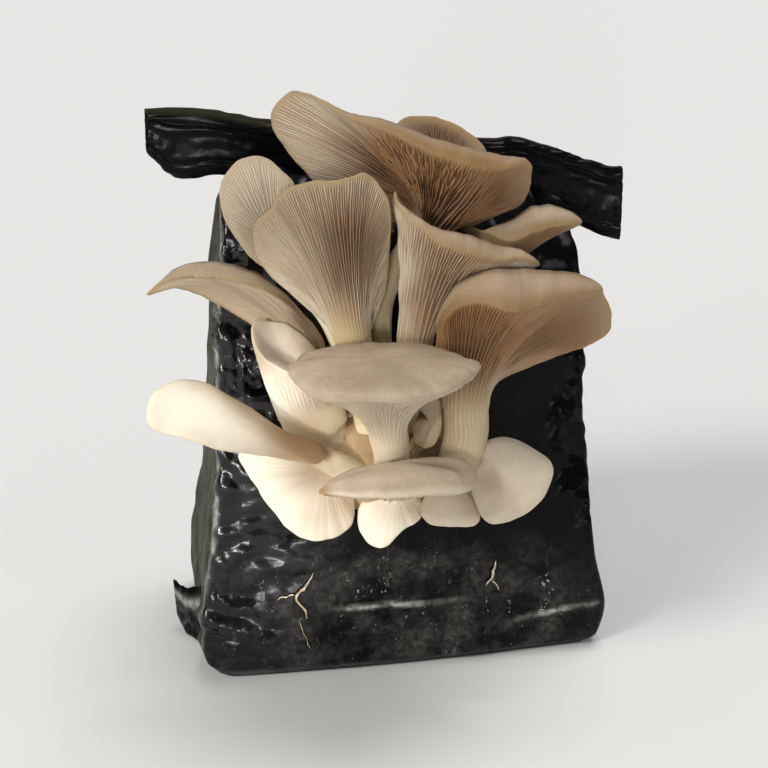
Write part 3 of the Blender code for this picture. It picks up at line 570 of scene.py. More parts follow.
# The opening in the bag's front, how the film is tucked in round it, and the tissue behind it that the stems
# rise from, with its lumps and the dent under the left inner cap.
CLUSTER_CENTRE = np.array([-6.0, -61.0, 121.0])
CLUSTER_RADII = np.array([42.0, 24.0, 29.0])
OPENING_RADII = (44.0, 31.0)
OPENING_FAR = 9.0
TUCK_WIDTH = 0.1
TUCK_REACH = 1.6
TUCK_DEPTH = 6
BASE_BACK = -52.0
BASE_ROWS = 90
BASE_COLUMNS = 160
BASE_POLE = 0.01
BASE_LUMP = 1.4
BASE_LUMP_SIZE = 12
BASE_DENT = 16
BASE_DENT_PLACE = (-22, 114)
BASE_DENT_WIDTH = 19
BASE_VALUES = {
    "gill": 0.6,
    "deep": 0.2,
    "way": -0.6,
    "side": 0.0,
    "edge": 0.0,
    "brown": 0.1,
    "pale": 0.0,
    "tan": 0.85,
}

# The folded top: its mesh, how square its section is, the lines pressed into it as (place up its section,
# width, depth) and how they wander as (strength, size, shift from line to line), the creases along it, how
# its ends close as (share, depth), and the painted olive sheen along the top of its left wing.
FOLD_SECTIONS = 210
FOLD_COLUMNS = 96
FOLD_SQUARE = 0.6
FOLD_LINES = ((0.62, 0.05, 1.3), (0.25, 0.05, 0.8), (-0.1, 0.06, 1.0), (-0.5, 0.05, 0.8))
FOLD_WANDER = (0.12, 40, 3.7)
FOLD_CREASES = (0.4, (90, 16, 7))
FOLD_WRINKLES = (0.3, (110, 9, 2.6))
FOLD_SWELL = (0.6, 40)
FOLD_ENDS = ((0.86, 0.5), (0.74, 3.5), (0.3, 6.0))
FOLD_CRINKLE = 0.04
FOLD_OLIVE = 0.6
FOLD_OLIVE_UP = (0.75, 0.2)
FOLD_OLIVE_ACROSS = (-40, -30)

# The loose corner: its mesh, its creases, how far it stays off the floor, and the line along it of wear and
# painted highlight.
EAR_ROWS = 40
EAR_COLUMNS = 64
EAR_CREASES = (0.5, 8)
EAR_FLOOR = 0.2
EAR_WEAR_HIGHLIGHT = (0.8, 0.7, 2.5)
EAR_CRINKLE = 0.2

# Patches of the photograph where the film is worked, as (across pixel, down pixel, width, height).
CRINKLED_PATCH = (240, 320, 40, 150)
ROLLING_PATCH = (262, 520, 80, 105)
RIGHT_PATCH = (580, 410, 22, 130)
LOW_PATCH = (440, 640, 150, 34)
CORNER_PATCH = (238, 628, 52, 36)
SHINING_PATCH = (240, 400, 110, 300)
SPECKLED_PATCH = (395, 612, 200, 62)
SPECKLED_BANDS = ((437, 620, 9, 60), (548, 620, 8, 60), (604, 620, 5, 60))
CRINKLED_SPOTS = ((238, 320, 40, 150), (578, 410, 24, 130), (228, 625, 50, 44))

# How the film stands out there: each kind of fold as (height, size) in mm, with a size of three numbers
# stretched along the part's axes. Some points are first moved about by the warp, so that no fold is straight.
SWELL = (1.1, 40)
LEFT_FACETS = ((3.4, 17), (1.1, 8))
ROLLING_WAVES = ((2.8, (26, 26, 13)), (2.0, (13, 13, 8)))
RIGHT_FACETS = ((1.0, 15), (0.2, 7))
TENT_FROM = (205, 30)
TENT_PLEATS = (1.5, (14, 40, 70))
TENT_FACETS = (0.9, 15)
TENT_SUNK = 0.5
LOW_CREASES = (0.8, (60, 60, 9))
CORNER_FACETS = (1.4, 20)
CORNER_STRETCH = (0.6, 1, 1.3)
SIDE_PLEATS = (0.9, (24, 30, 90))
SIDE_FACETS = (0.7, 26)
WARP = 5
WARP_SIZE = 30
WARP_SHIFTS = (3.1, 17.7, 41.3)

# The crumpled facets: in how many directions their zigzags run, how those are turned and tipped, how strongly
# and over what size each is bent, its size from the first to the last, and where it shows and how clearly.
# Sizes are shares of the facets' own size, and shifts keep the noise of one direction from the next one's.
FACET_WAYS = 6
FACET_TURN = 0.35
FACET_TIP = 0.45
FACET_TIP_STEP = 3.1
FACET_BEND = 0.55
FACET_BEND_SIZE = 2.6
FACET_BEND_SHIFT = 31.7
FACET_FIRST_SIZE = 0.8
FACET_SIZE_STEP = 0.13
FACET_CONTRAST = 1.5
FACET_SHOWN_SIZE = 2.1
FACET_SHOWN_SHIFT = 11.3
FACET_SHOWN_FROM = 5

# Creases as pixels of the photograph: the pinched one down the front's left edge as (down, across), the ones
# across the low front as (left end, its down, right end, its down), and the ridges at the lower left corner
# as (down, slant, width, height in mm). The first two have a height in mm and a width, a strength of wear and
# painted highlight and its width, and they wander and break up, each as (strength, size). The pale colour
# along them is partly wear and partly a painted highlight.
LEFT_CREASE = (
    (172, 222), (240, 222), (300, 218), (360, 216), (450, 219), (500, 217), (540, 215), (580, 207),
    (652, 203),
)
LEFT_RISE = (1.3, 3.6)
LEFT_WEAR_HIGHLIGHT = (0.75, 1.9)
LEFT_FROM = (225, 20)
LEFT_TO = (600, -30)
LEFT_WANDER = (3, 16)
LEFT_SHOWN = 0.55
LEFT_BREAKS = (2.2, 11)
CREASE_LINES = ((322, 610, 478, 599), (505, 621, 604, 601))
CREASE_LINE_RISE = (1.4, 4.5)
WEAR_HIGHLIGHT_WIDTH = 2.0
CREASE_LINE_WANDER = (2, 40)
CREASE_LINE_ENDS = 6
WEAR_HIGHLIGHT_LEAST = 0.25
WEAR_HIGHLIGHT_SHOWN = 0.5
WEAR_HIGHLIGHT_BREAKS = (2.5, 17)
CORNER_FOLDS = ((630, 0.45, 9, 3.6), (604, 0.3, 7, 2.0), (652, 0.3, 6, 1.6))
CORNER_MIDDLE = 240

# Where the front begins, in depth, for its folds, its pinched crease and its dust.
FRONT_FOLDS = (-30, -12)
FRONT_CREASE = (-44, -6)
FRONT_DUST = (-35, -15)

# Where the film is dusty, in pixels, and where its left side has a painted olive sheen, in mm from its edges.
DUST_DOWN = (520, 60)
DUST_LEFT = (240, 70)
DUST_RIGHT = (540, 50)
DUST_THINNED = 0.7
OLIVE_INWARD = (9, -6)
OLIVE_BEHIND = (3, 6)
OLIVE_SPREAD = 12
OLIVE_SPREAD_FROM = (-20, 70)
PLAIN_CRINKLE = 0.05
MORE_CRINKLE = 0.22
SPECK_STRENGTH = 0.45

# Cuts in the film, as pixels of the photograph, with their half widths and how high their lips curl. They
# wander and vary in width, and their threads are lumpy, each as (strength, size). A cut's section is given as
# (share of the half width, rise, whether threads show).
CUTS = (
    (((314, 571), (308, 582), (299, 592), (296, 599), (301, 606), (309, 619)), 0.9, 1.6),
    (((299, 597), (291, 595), (283, 597), (276, 600)), 0.6, 0.8),
    (((497, 561), (493, 569), (491, 577), (486, 586)), 1.0, 1.8),
    (((491, 577), (496, 584), (499, 590)), 0.5, 0.8),
    (((299, 618), (303, 632), (310, 648)), 0.35, 0.7),
)
CUT_ROWS = 60
CUT_WANDER = (1.6, 7)
CUT_UNEVEN = (0.5, 9)
THREAD_LUMPS = (0.5, 1.5)
THREADS_FROM = 0.3
CUT_VALUES = {"crinkle": 0.3, "shine": 0.5}
CUT_SECTION = (
    (-2.6, -1.5, 0), (-1.5, 0.5, 0), (-1.0, 1.0, 0), (-0.8, 0.5, 0), (-0.6, 0.35, 1), (-0.2, 0.7, 1),
    (0.2, 0.6, 1), (0.6, 0.35, 1), (0.8, 0.5, 0), (1.0, 1.0, 0), (1.5, 0.5, 0), (2.6, -1.5, 0),
)

# Colours as a screen shows them, from 0 to 255. A pair is blended from the first to the second: the gills'
# from plain to brown, where the brown is partly their own colour and partly painted shade, the others' by
# noise.
RIDGE_COLOURS = ((200, 184, 160), (148, 106, 70))
# The valleys are darker than the ridges: painted shade between the gills.
VALLEY_COLOURS = ((148, 124, 98), (56, 34, 18))
FLAT_COLOURS = ((182, 166, 142), (104, 74, 48))
STEM_COLOURS = ((204, 190, 158), (190, 172, 132))
# The grooves between the stem's ridges are darker: painted shade.
STEM_GROOVE_COLOUR = (158, 136, 96)
SKIN_COLOURS = ((176, 158, 136), (160, 140, 116))
SKIN_FLECK_COLOUR = (140, 118, 94)
EDGE_COLOUR = (146, 120, 78)
# The pale colour is pale flesh with painted light on it, and the tan colour is tan flesh with painted shade.
PALE_AND_LIGHT_COLOUR = (238, 230, 212)
TAN_AND_SHADE_COLOUR = (146, 110, 70)
FILM_COLOUR = (5, 5, 6)
DUST_COLOUR = (92, 90, 86)
# The olive colour is a painted sheen along the film's left side and the top of its left wing.
OLIVE_SHEEN_COLOUR = (60, 59, 43)
# The speck colour also paints the highlights along the creases.
SPECK_AND_HIGHLIGHT_COLOUR = (210, 208, 200)
THREAD_COLOURS = ((244, 238, 220), (206, 180, 136))
STRAW_COLOURS = ((120, 88, 52), (196, 164, 112))
MYCELIUM_COLOUR = (232, 226, 210)

# How strongly the finishes take up what is held on the meshes, and how high the film's finest folds are.
EDGE_SHARE = 0.75
PALE_AND_LIGHT_SHARE = 0.85
TAN_AND_SHADE_SHARE = 0.85
DUST_SHARE = 0.55
OLIVE_SHEEN_SHARE = 0.8
SMEAR_SHARE = 0.25
FLAT_HEIGHT = 900.0
WAVE_HEIGHT = 0.5
CLOUD_HEIGHT = 0.1
FINE_HEIGHT = 0.012

# The bag's outline at each height: height, left and right ends of the front, front and back, and how much
# the level drops toward the right.
BAG_LEVELS = [
    (0.0, -98, 104, -60, 54, 0),
    (7.0, -104, 111, -65, 59, 0),
    (24.0, -106, 114, -66, 60, 0),
    (55.0, -102, 108, -65, 60, 0),
    (95.0, -96, 104, -62, 58, 0),
    (140.0, -93, 101, -58, 55, 0),
    (185.0, -92, 100, -53, 50, -3),
    (222.0, -87, 99, -46, 42, -9),
    (246.0, -82, 97, -28, 26, -9),
    (262.0, -78, 94, -10, 6, -11),
]

# The folded top, from the left wing's end to the right wing's: across, depth, height, half height and half
# thickness of each section.
FOLDED_TOP = [
    (-119, -4, 284, 11, 3.5),
    (-104, -5, 277, 18, 5.5),
    (-84, -8, 277, 16, 7),
    (-56, -10, 272, 15, 8),
    (0, -9, 265, 15, 8),
    (58, -10, 258, 14, 8),
    (72, -12, 257, 16, 7.5),
    (98, -16, 247, 18, 6.5),
    (119, -22, 239, 19, 4.5),
    (127, -25, 238, 20, 3.5),
]

# The loose corner: the four corners of each section, from the bag outward.
EAR_SECTIONS = [
    [(-97, -24, 1), (-97, -12, 1), (-97, -10, 30), (-97, -22, 26)],
    [(-106, -10, 1), (-106, -5, 1), (-107, -4, 26), (-107, -9, 24)],
    [(-112, 2, 9), (-112, 5, 9), (-113, 6, 27), (-113, 3, 26)],
]

# What is held at each point of a cap or stem: where gills are raised, how deep they are, the way from the
# neck to the margin, which is below 0 on the stem, whether it is the skin's side, and the edge. A stem has
# only the first three, with these at its ends.
CAP_VALUES = ("gill", "deep", "way", "side", "edge")
STEM_END_VALUES = (0.5, 0.0, -0.5)


def view_axes():
    """Right, up and toward the viewer, as unit vectors."""
    toward = np.array(
        [
            math.sin(VIEW_AZIMUTH) * math.cos(VIEW_ELEVATION),
            -math.cos(VIEW_AZIMUTH) * math.cos(VIEW_ELEVATION),
            math.sin(VIEW_ELEVATION),
        ]
    )
    right = np.array([math.cos(VIEW_AZIMUTH), math.sin(VIEW_AZIMUTH), 0.0])
    return right, np.cross(toward, right), toward


RIGHT, UP, TOWARD = view_axes()


def seen(across, up, toward):
    """The place in the part's axes, in mm, of a point of the cluster laid out as it is seen."""
    toward = toward + CLUSTER_FORWARD
    shrink = 1 - toward / VIEW_DISTANCE
    return VIEW_CENTRE + (across * RIGHT + up * UP) * shrink + toward * TOWARD


def direction(across, up, toward):
    """The unit vector of a direction given as it is seen."""
    vector = across * RIGHT + up * UP + toward * TOWARD
    return vector / np.linalg.norm(vector)


def seen_at(pixel, toward):
    """The place in the part's axes, in mm, that is seen at a pixel of the photograph."""
    across = (pixel[0] - PHOTO_MIDDLE) * PIXEL
    return seen(across, (PHOTO_MIDDLE - pixel[1]) * PIXEL, toward)


def pixels(points):
    """The photograph's pixels at which points in mm are seen."""
    away = points - VIEW_CENTRE
    scale = 1 - (away @ TOWARD) / VIEW_DISTANCE
    across = (away @ RIGHT) / scale
    up = (away @ UP) / scale
    return np.stack([PHOTO_MIDDLE + across / PIXEL, PHOTO_MIDDLE - up / PIXEL], axis=1)


def unit(vector):
    return vector / np.maximum(np.linalg.norm(vector, axis=-1, keepdims=True), 1e-12)


def smooth(value):
    """A soft step from 0 to 1."""
    value = np.clip(value, 0, 1)
    return value * value * (3 - 2 * value)


def past(values, start, reach):
    """How far values are past a start, from 0 to 1 over the reach. A negative reach goes the other way."""
    return smooth((values - start) / reach)


class Noise:
    """Smooth noise between about -1 and 1 at points in space."""

    def __init__(self, seed):
        random = np.random.default_rng(seed)
        self.order = np.tile(random.permutation(NOISE_CELLS), 3)
        self.slopes = unit(random.normal(size=(NOISE_CELLS, 3)))

    def __call__(self, points):
        cell = np.floor(points).astype(int)
        part = points - cell
        cell %= NOISE_CELLS
        ease = part ** 3 * (part * (part * 6 - 15) + 10)
        total = np.zeros(len(points))
        for corner in range(8):
            step = np.array([corner & 1, corner >> 1 & 1, corner >> 2 & 1])
            where = cell + step
            hashed = self.order[self.order[self.order[where[:, 0]] + where[:, 1]] + where[:, 2]]
            weight = np.prod(np.where(step, ease, 1 - ease), axis=1)
            total += weight * np.sum(self.slopes[hashed] * (part - step), axis=1)
        return total * NOISE_GAIN

    def layers(self, points, count):
        """Several sizes of the noise added up, each half as large and half as strong."""
        total = np.zeros(len(points))
        for layer in range(count):
            total += self(points * 2 ** layer + LAYER_SHIFT * layer) / 2 ** layer
        return total


def evened(values, reach):
    """Rows evened out round a ring, each with its neighbours up to the reach on both sides."""
    if reach < 1:
        return values
    wrapped = np.concatenate([values[-reach:], values, values[:reach]])
    sums = np.concatenate([np.zeros((1, values.shape[1])), np.cumsum(wrapped, axis=0)])
    return (sums[2 * reach + 1:] - sums[: -2 * reach - 1]) / (2 * reach + 1)


def curve(points, places, closed):
    """The smooth curve through the points, at places given as shares of its length."""
    points = np.asarray(points, float)
    if closed:
        rows = [points[(np.arange(len(points)) + shift) % len(points)] for shift in (-1, 0, 1, 2)]
    else:
        held = np.vstack([2 * points[0] - points[1], points, 2 * points[-1] - points[-2]])
        rows = [held[shift: shift + len(points) - 1] for shift in range(4)]
    before, start, end, after = rows
    dense = []
    for step in range(CURVE_STEPS):
        t = step / CURVE_STEPS
        dense.append(
            0.5
            * (
                2 * start
                + (end - before) * t
                + (2 * before - 5 * start + 4 * end - after) * t * t
                + (3 * start - before - 3 * end + after) * t ** 3
            )
        )
    dense = np.stack(dense, axis=1).reshape(-1, points.shape[1])
    dense = np.vstack([dense, points[:1] if closed else points[-1:]])
    lengths = np.linalg.norm(np.diff(dense[:, :3], axis=0), axis=1)
    along = np.concatenate([[0], np.cumsum(lengths)])
    return np.stack([np.interp(np.asarray(places) * along[-1], along, column) for column in dense.T], axis=1)


def ring_axes(axis):
    """Two unit vectors across an axis, the first as level as it can be."""
    across = unit(np.cross(axis, TOWARD))
    return across, unit(np.cross(axis, across))


def circle(count):
    """The angles of points round a circle, and the points."""
    angle = 2 * math.pi * np.arange(count) / count
    return angle, np.stack([np.cos(angle), np.sin(angle)], axis=1)


def ring_faces(rows, columns, start=0, closed=True):
    """The four-sided faces between rows of points that follow each other, as rings or open strips."""
    width = columns if closed else columns - 1
    row, column = np.meshgrid(np.arange(rows - 1), np.arange(width), indexing="ij")
    following = (column + 1) % columns
    low = start + row * columns
    corners = [low + column, low + columns + column, low + columns + following, low + following]
    return np.stack(corners, axis=-1).reshape(-1, 4)


def fan_faces(columns, start, middle):
    """The triangles from a closed ring of points to a point in its middle."""
    column = np.arange(columns)
    return np.stack([start + column, np.full(columns, middle), start + (column + 1) % columns], axis=1)


def capped(grid):
    """A tube's points and faces, from a grid of rings, with its ends filled by fans."""
    rows, columns, _ = grid.shape
    points = np.concatenate([grid.reshape(-1, 3), [grid[0].mean(axis=0), grid[-1].mean(axis=0)]])
    last = fan_faces(columns, (rows - 1) * columns, rows * columns + 1)
    first = fan_faces(columns, 0, rows * columns)[:, ::-1]
    return points, ring_faces(rows, columns), np.concatenate([last, first])


def volume(points, quads, triangles):
    """The signed volume inside the faces."""
    corners = [triangles]
    if len(quads):
        corners += [quads[:, [0, 1, 2]], quads[:, [0, 2, 3]]]
    faces = points[np.concatenate(corners)]
    return np.einsum("ij,ij->i", faces[:, 0], np.cross(faces[:, 1], faces[:, 2])).sum() / 6


def added(name, data):
    """An object with the data, in the scene."""
    obj = bpy.data.objects.new(name, data)
    bpy.context.scene.collection.objects.link(obj)
    return obj


class Shape:
    """Points, faces and values gathered for one mesh."""

    def __init__(self):
        self.points = []
        self.quads = []
        self.triangles = []
        self.values = {}
        self.count = 0

    def add(self, points, quads, triangles=None, **values):
        """Add a surface, with its faces turned outward and a number for each value at each point."""
        points = np.asarray(points, float)
        quads = np.asarray(quads, int).reshape(-1, 4)
        triangles = np.zeros((0, 3), int) if triangles is None else np.asarray(triangles, int)
        if volume(points - points.mean(axis=0), quads, triangles) < 0:
            quads = quads[:, ::-1]
            triangles = triangles[:, ::-1]
        for name in {**self.values, **values}:
            held = self.values.setdefault(name, [np.zeros(self.count)] if self.count else [])
            held.append(np.broadcast_to(np.asarray(values.get(name, 0.0), float), (len(points),)))
        self.points.append(points)
        self.quads.append(quads + self.count)
        self.triangles.append(triangles + self.count)
        self.count += len(points)

    def build(self, name, finish):
        """The object, in metres."""
        quads = np.concatenate(self.quads)
        triangles = np.concatenate(self.triangles)
        corners = np.concatenate([quads.ravel(), triangles.ravel()])
        starts = np.concatenate([np.arange(len(quads)) * 4, len(quads) * 4 + np.arange(len(triangles)) * 3])
        mesh = bpy.data.meshes.new(name)
        mesh.vertices.add(self.count)
        mesh.vertices.foreach_set("co", (np.concatenate(self.points) * MM).astype(np.float32).ravel())
        mesh.loops.add(len(corners))
        mesh.loops.foreach_set("vertex_index", corners.astype(np.int32))
        mesh.polygons.add(len(starts))
        mesh.polygons.foreach_set("loop_start", starts.astype(np.int32))
        mesh.update(calc_edges=True)
        mesh.shade_smooth()
        for value, held in self.values.items():
            attribute = mesh.attributes.new(value, "FLOAT", "POINT")
            attribute.data.foreach_set("value", np.concatenate(held).astype(np.float32))
        mesh.materials.append(finish)
        return added(name, mesh)


NOISE_A = Noise(1)
NOISE_B = Noise(2)
NOISE_C = Noise(3)


def stem_path(spec):
    """A stem's rows of place and radius from foot to neck, and its direction at the neck."""
    path = np.array([[*seen(*point[:3]), point[3]] for point in spec["stem"]])
    return path, unit(path[-1, :3] - path[-2, :3])


class Cap:
    """The smooth surfaces of one cap, from its neck over the gills and the margin to the skin's middle."""

    def __init__(self, spec, places):
        columns = len(places)
        self.even = max(1, columns // EVENED_PART)
        path, self.axis = stem_path(spec)
        self.neck = path[-1, :3]
        self.neck_radius = path[-1, 3]
        self.skin_side = direction(*spec["skin_side"])
        for key in ("flesh", "dish", "dome", "round", "flat", "bulge", "rise", "reach"):
            setattr(self, key, spec[key])
        self.bend = UP * spec["bend"]
        rows = []
        for index, point in enumerate(spec["margin"]):
            across, up, toward = spec["crest"].get(index, (0, 0, 0))
            own = across * RIGHT + up * UP + toward * TOWARD
            rows.append([*seen(*point), *own, 1.0 if index in spec["crest"] else 0.0])
        rows = curve(rows, places, closed=True)
        self.margin = rows[:, :3]
        self.heart = seen(*spec["heart"]) if "heart" in spec else None
        self.ring = self.neck_ring(columns)
        self.lengths = np.linalg.norm(self.margin - self.ring, axis=1)
        self.outward = unit(self.margin - self.underside(NEAR_EDGE))
        plain = self.inward(1.0) * RIM_THICKNESS + self.outward * RIM_OVERHANG
        self.crest = self.margin + rows[:, 3:6] + plain * (1 - np.clip(rows[:, 6:], 0, 1))

    def neck_ring(self, columns):
        """Points round the neck, each on the side that its point of the margin is on."""
        self.angles = 2 * math.pi * np.arange(columns) / columns
        if self.heart is not None:
            return self.heart + (self.margin - self.heart) * HEART_SHARE
        across, other = ring_axes(self.axis)
        flat = np.stack([(self.margin - self.neck) @ across, (self.margin - self.neck) @ other], axis=1)
        facing = np.unwrap(np.arctan2(flat[:, 1], flat[:, 0]))
        turned = np.roll(flat, -1, axis=0)
        winding = np.sign((flat[:, 0] * turned[:, 1] - flat[:, 1] * turned[:, 0]).sum())
        even = winding * 2 * math.pi * np.arange(columns) / columns
        rising = np.maximum.accumulate(winding * (facing - facing[0]))
        rising = winding * np.minimum(rising, 2 * math.pi * (1 - 1 / columns))
        self.angles = facing[0] + rising * FACING_SHARE + even * (1 - FACING_SHARE)
        return (
            self.neck
            + self.neck_radius * np.outer(np.cos(self.angles), across)
            + self.neck_radius * self.flat * np.outer(np.sin(self.angles), other)
        )

    def underside(self, t):
        """The gill surface at a share t of the way from the neck to the margin."""
        if self.heart is not None:
            span = self.margin - self.ring
            length = np.linalg.norm(span, axis=1)
            share = length / length.max()
            bulge = self.skin_side * (self.bulge * t * (1 - t) * share)[:, None]
            bent = self.bend * (4 * t * (1 - t) * share ** 2)[:, None]
            return self.ring + span * t - bulge + bent
        rise = self.ring + self.axis * (self.rise * self.lengths)[:, None]
        inner = self.ring + self.axis * (self.reach * self.lengths)[:, None]
        bend = self.margin + (inner - self.margin) * MARGIN_BEND
        return (
            (1 - t) ** 3 * self.ring
            + 3 * (1 - t) ** 2 * t * rise
            + 3 * (1 - t) * t ** 2 * bend
            + t ** 3 * self.margin
        )

    def relief(self, t):
        """The unit vector out of the gill surface, away from the skin."""
        if self.heart is not None:
            return np.tile(-self.skin_side, (len(self.margin), 1))
        here = self.underside(t)
        along = self.underside(min(t + RELIEF_STEP, 1.0)) - self.underside(max(t - RELIEF_STEP, 0.0))
        around = np.roll(here, -4, axis=0) - np.roll(here, 4, axis=0)
        normal = unit(np.cross(around, along) + 1e-9)
        edge_along = self.underside(1.0) - self.underside(NEAR_EDGE)
        edge_around = np.roll(self.margin, -1, axis=0) - np.roll(self.margin, 1, axis=0)
        edge = np.cross(edge_around, edge_along).sum(axis=0)
        return normal if edge @ self.skin_side < 0 else -normal

    def inward(self, t):
        """The unit vector from the gill surface into the flesh, evened out round the cap."""
        return unit(evened(-self.relief(t), self.even))

    def skin(self, t):
        """The skin at a share t of the way from the cap's middle to its crest."""
        thin_share = THIN_SHARE if self.heart is None else 1.0
        share = np.clip(self.lengths / (FULL_LENGTH_SHARE * self.lengths.max()), thin_share, 1.0)
        thickness = RIM_THICKNESS + (self.flesh - RIM_THICKNESS) * math.sqrt(1 - t * t)
        followed = self.underside(t) + (self.crest - self.margin) * t * t
        followed += self.inward(t) * (thickness * share * (1 - t * t))[:, None]
        middle = self.crest.mean(axis=0) + self.skin_side * self.dome
        swell = (1 - t * t) ** self.round - (1 - t)
        level = middle + (self.crest - middle) * t + self.skin_side * self.dome * swell
        return followed * self.dish + level * (1 - self.dish)


def blobs(points, spots):
    """How much points are covered by soft round spots, each (across pixel, down pixel, radius, strength)."""
    place = pixels(points)
    total = np.zeros(len(points))
    for across, down, radius, strength in spots:
        away = np.hypot(place[:, 0] - across, place[:, 1] - down) / radius
        total += strength * np.exp(-away ** 2)
    return np.clip(total, 0, 1)


def gathered(held, columns):
    """Each value's name with its numbers, a row of them for each row of points."""
    for value, kept in zip(CAP_VALUES, zip(*held)):
        yield value, [np.broadcast_to(numbers, columns) for numbers in kept]


def add_cap(shape, name, spec, look):
    """The cap's gills, rim and skin. Returns the angles at which gills run on down the stem."""
    margin = [seen(*point) for point in spec["margin"]]
    rough = curve(margin, np.linspace(0, 1, ROUGH_POINTS, endpoint=False), closed=True)
    around = np.linalg.norm(np.roll(rough, -1, axis=0) - rough, axis=1).sum()
    gills = 4 * max(4, round(around / look["spacing"] / 4))
    places = ((np.arange(gills)[:, None] + np.array(GILL_PLACES)) / gills).ravel()
    cap = Cap(spec, places)
    columns = len(places)
    seed = sorted(MUSHROOMS).index(name) + CAP_SEED
    noise = Noise(seed)
    random = np.random.default_rng(seed)
    angle = 2 * math.pi * places
    ring = np.stack([np.cos(angle), np.sin(angle)], axis=1)
    swing, lift = (
        noise.layers(np.column_stack([ring * around / length, np.full(columns, shift)]), 3) * look["wave"]
        for length, shift in ((MARGIN_WAVE, 0.5), (MARGIN_LIFT, 7.5))
    )
    shift = cap.outward * swing[:, None] + cap.skin_side * lift[:, None]
    cap.margin = cap.margin + shift
    cap.crest = cap.crest + shift

    starts = np.array(GILL_STARTS)[np.arange(gills) % 4] + random.uniform(*GILL_START_RANGE, gills)
    begins = np.repeat(starts, 4)
    begins[3::4] = np.roll(starts, -1)
    heights = np.tile(GILL_HEIGHTS, gills)
    uneven = np.repeat(random.uniform(*GILL_HEIGHT_RANGE, gills), 4)
    rows = []
    held = []
    for t in np.linspace(0, 1, GILL_ROWS):
        here = cap.underside(t)
        stride = np.roll(here, -4, axis=0) - here
        pitch = np.linalg.norm(stride, axis=1)
        shown = 1 + past(t, GILL_DOUBLED, GILL_FADE) + 2 * past(t, GILL_TREBLED, GILL_FADE)
        room = pitch * 4 / shown
        edge = smooth(1 - (1 - t) * cap.lengths / EDGE_WIDTH)
        bare = blobs(here, look["smooths"])
        grown = smooth(t / GILL_GROWN)
        deep = (GILL_AT_NECK + (1 - GILL_AT_NECK) * grown) * (1 - edge) * (1 - bare)
        depth = np.minimum(GILL_RELIEF * look["relief"] * deep, GILL_ROOM * room)
        gill = heights * past(t, begins, GILL_FADE)
        along = np.full(columns, t * cap.lengths.mean() / GILL_SWAY)
        sway = noise.layers(np.column_stack([ring * gills / GILL_SWAY, along]), 2)
        swayed = look["ruffle"] + blobs(here, look["ruffles"])
        row = here + stride * (sway * swayed * grown * deep)[:, None]
        row += cap.relief(t) * (depth * (gill * uneven - GILL_SUNK))[:, None]
        rows.append(row)
        held.append((gill, depth / GILL_RELIEF, t, 0.0, edge * look["rim"]))
    rim_start = rows[-1]
    span = cap.crest - rim_start
    reach = np.linalg.norm(span, axis=1)
    bulge = np.minimum(RIM_LIMIT * reach, RIM_SWELL[0] + RIM_SWELL[1] * reach)
    for step in range(1, RIM_ROWS + 1):
        share = step / RIM_ROWS
        rows.append(rim_start + span * share + cap.outward * (bulge * math.sin(math.pi * share))[:, None])
        held.append((0.0, 0.0, 1.0, share, smooth(1 - share * reach / EDGE_WIDTH) * look["rim"]))
    for t in SKIN_ROWS:
        row = evened(cap.skin(t), round(columns * look["even"] * (1 - t)))
        row += cap.skin_side * (noise.layers(row / SKIN_LUMP_SIZE, 2) * SKIN_LUMP)[:, None]
        rows.append(row)
        edge = smooth(1 - (reach + (1 - t) * cap.lengths) / EDGE_WIDTH)
        held.append((0.0, 0.0, t, 1.0, edge * look["rim"]))
    count = len(rows)
    points = np.concatenate(rows)
    middle = len(points)
    heart = rows[0].mean(axis=0) if cap.heart is None else cap.heart
    inner = rows[0] if cap.heart is None else np.zeros((0, 3))
    points = np.concatenate([points, [rows[-1].mean(axis=0), heart], inner])
    values = {}
    for value, kept in gathered(held, columns):
        values[value] = np.concatenate([*kept, [kept[-1].mean(), 0], np.zeros(len(inner))])
    last = fan_faces(columns, (count - 1) * columns, middle)
    first = fan_faces(columns, middle + 2 if len(inner) else 0, middle + 1)[:, ::-1]
    shape.add(points, ring_faces(count, columns), np.concatenate([last, first]), **values)
    return cap.angles[::16]


def round_stem(noise, ring, gap, pattern, *layers):
    """The noise round a stem at a distance from its neck, for a strength, times round and length."""
    strength, turns, length = pattern
    return strength * noise(np.column_stack([ring * turns, np.full(len(ring), gap) / length]), *layers)


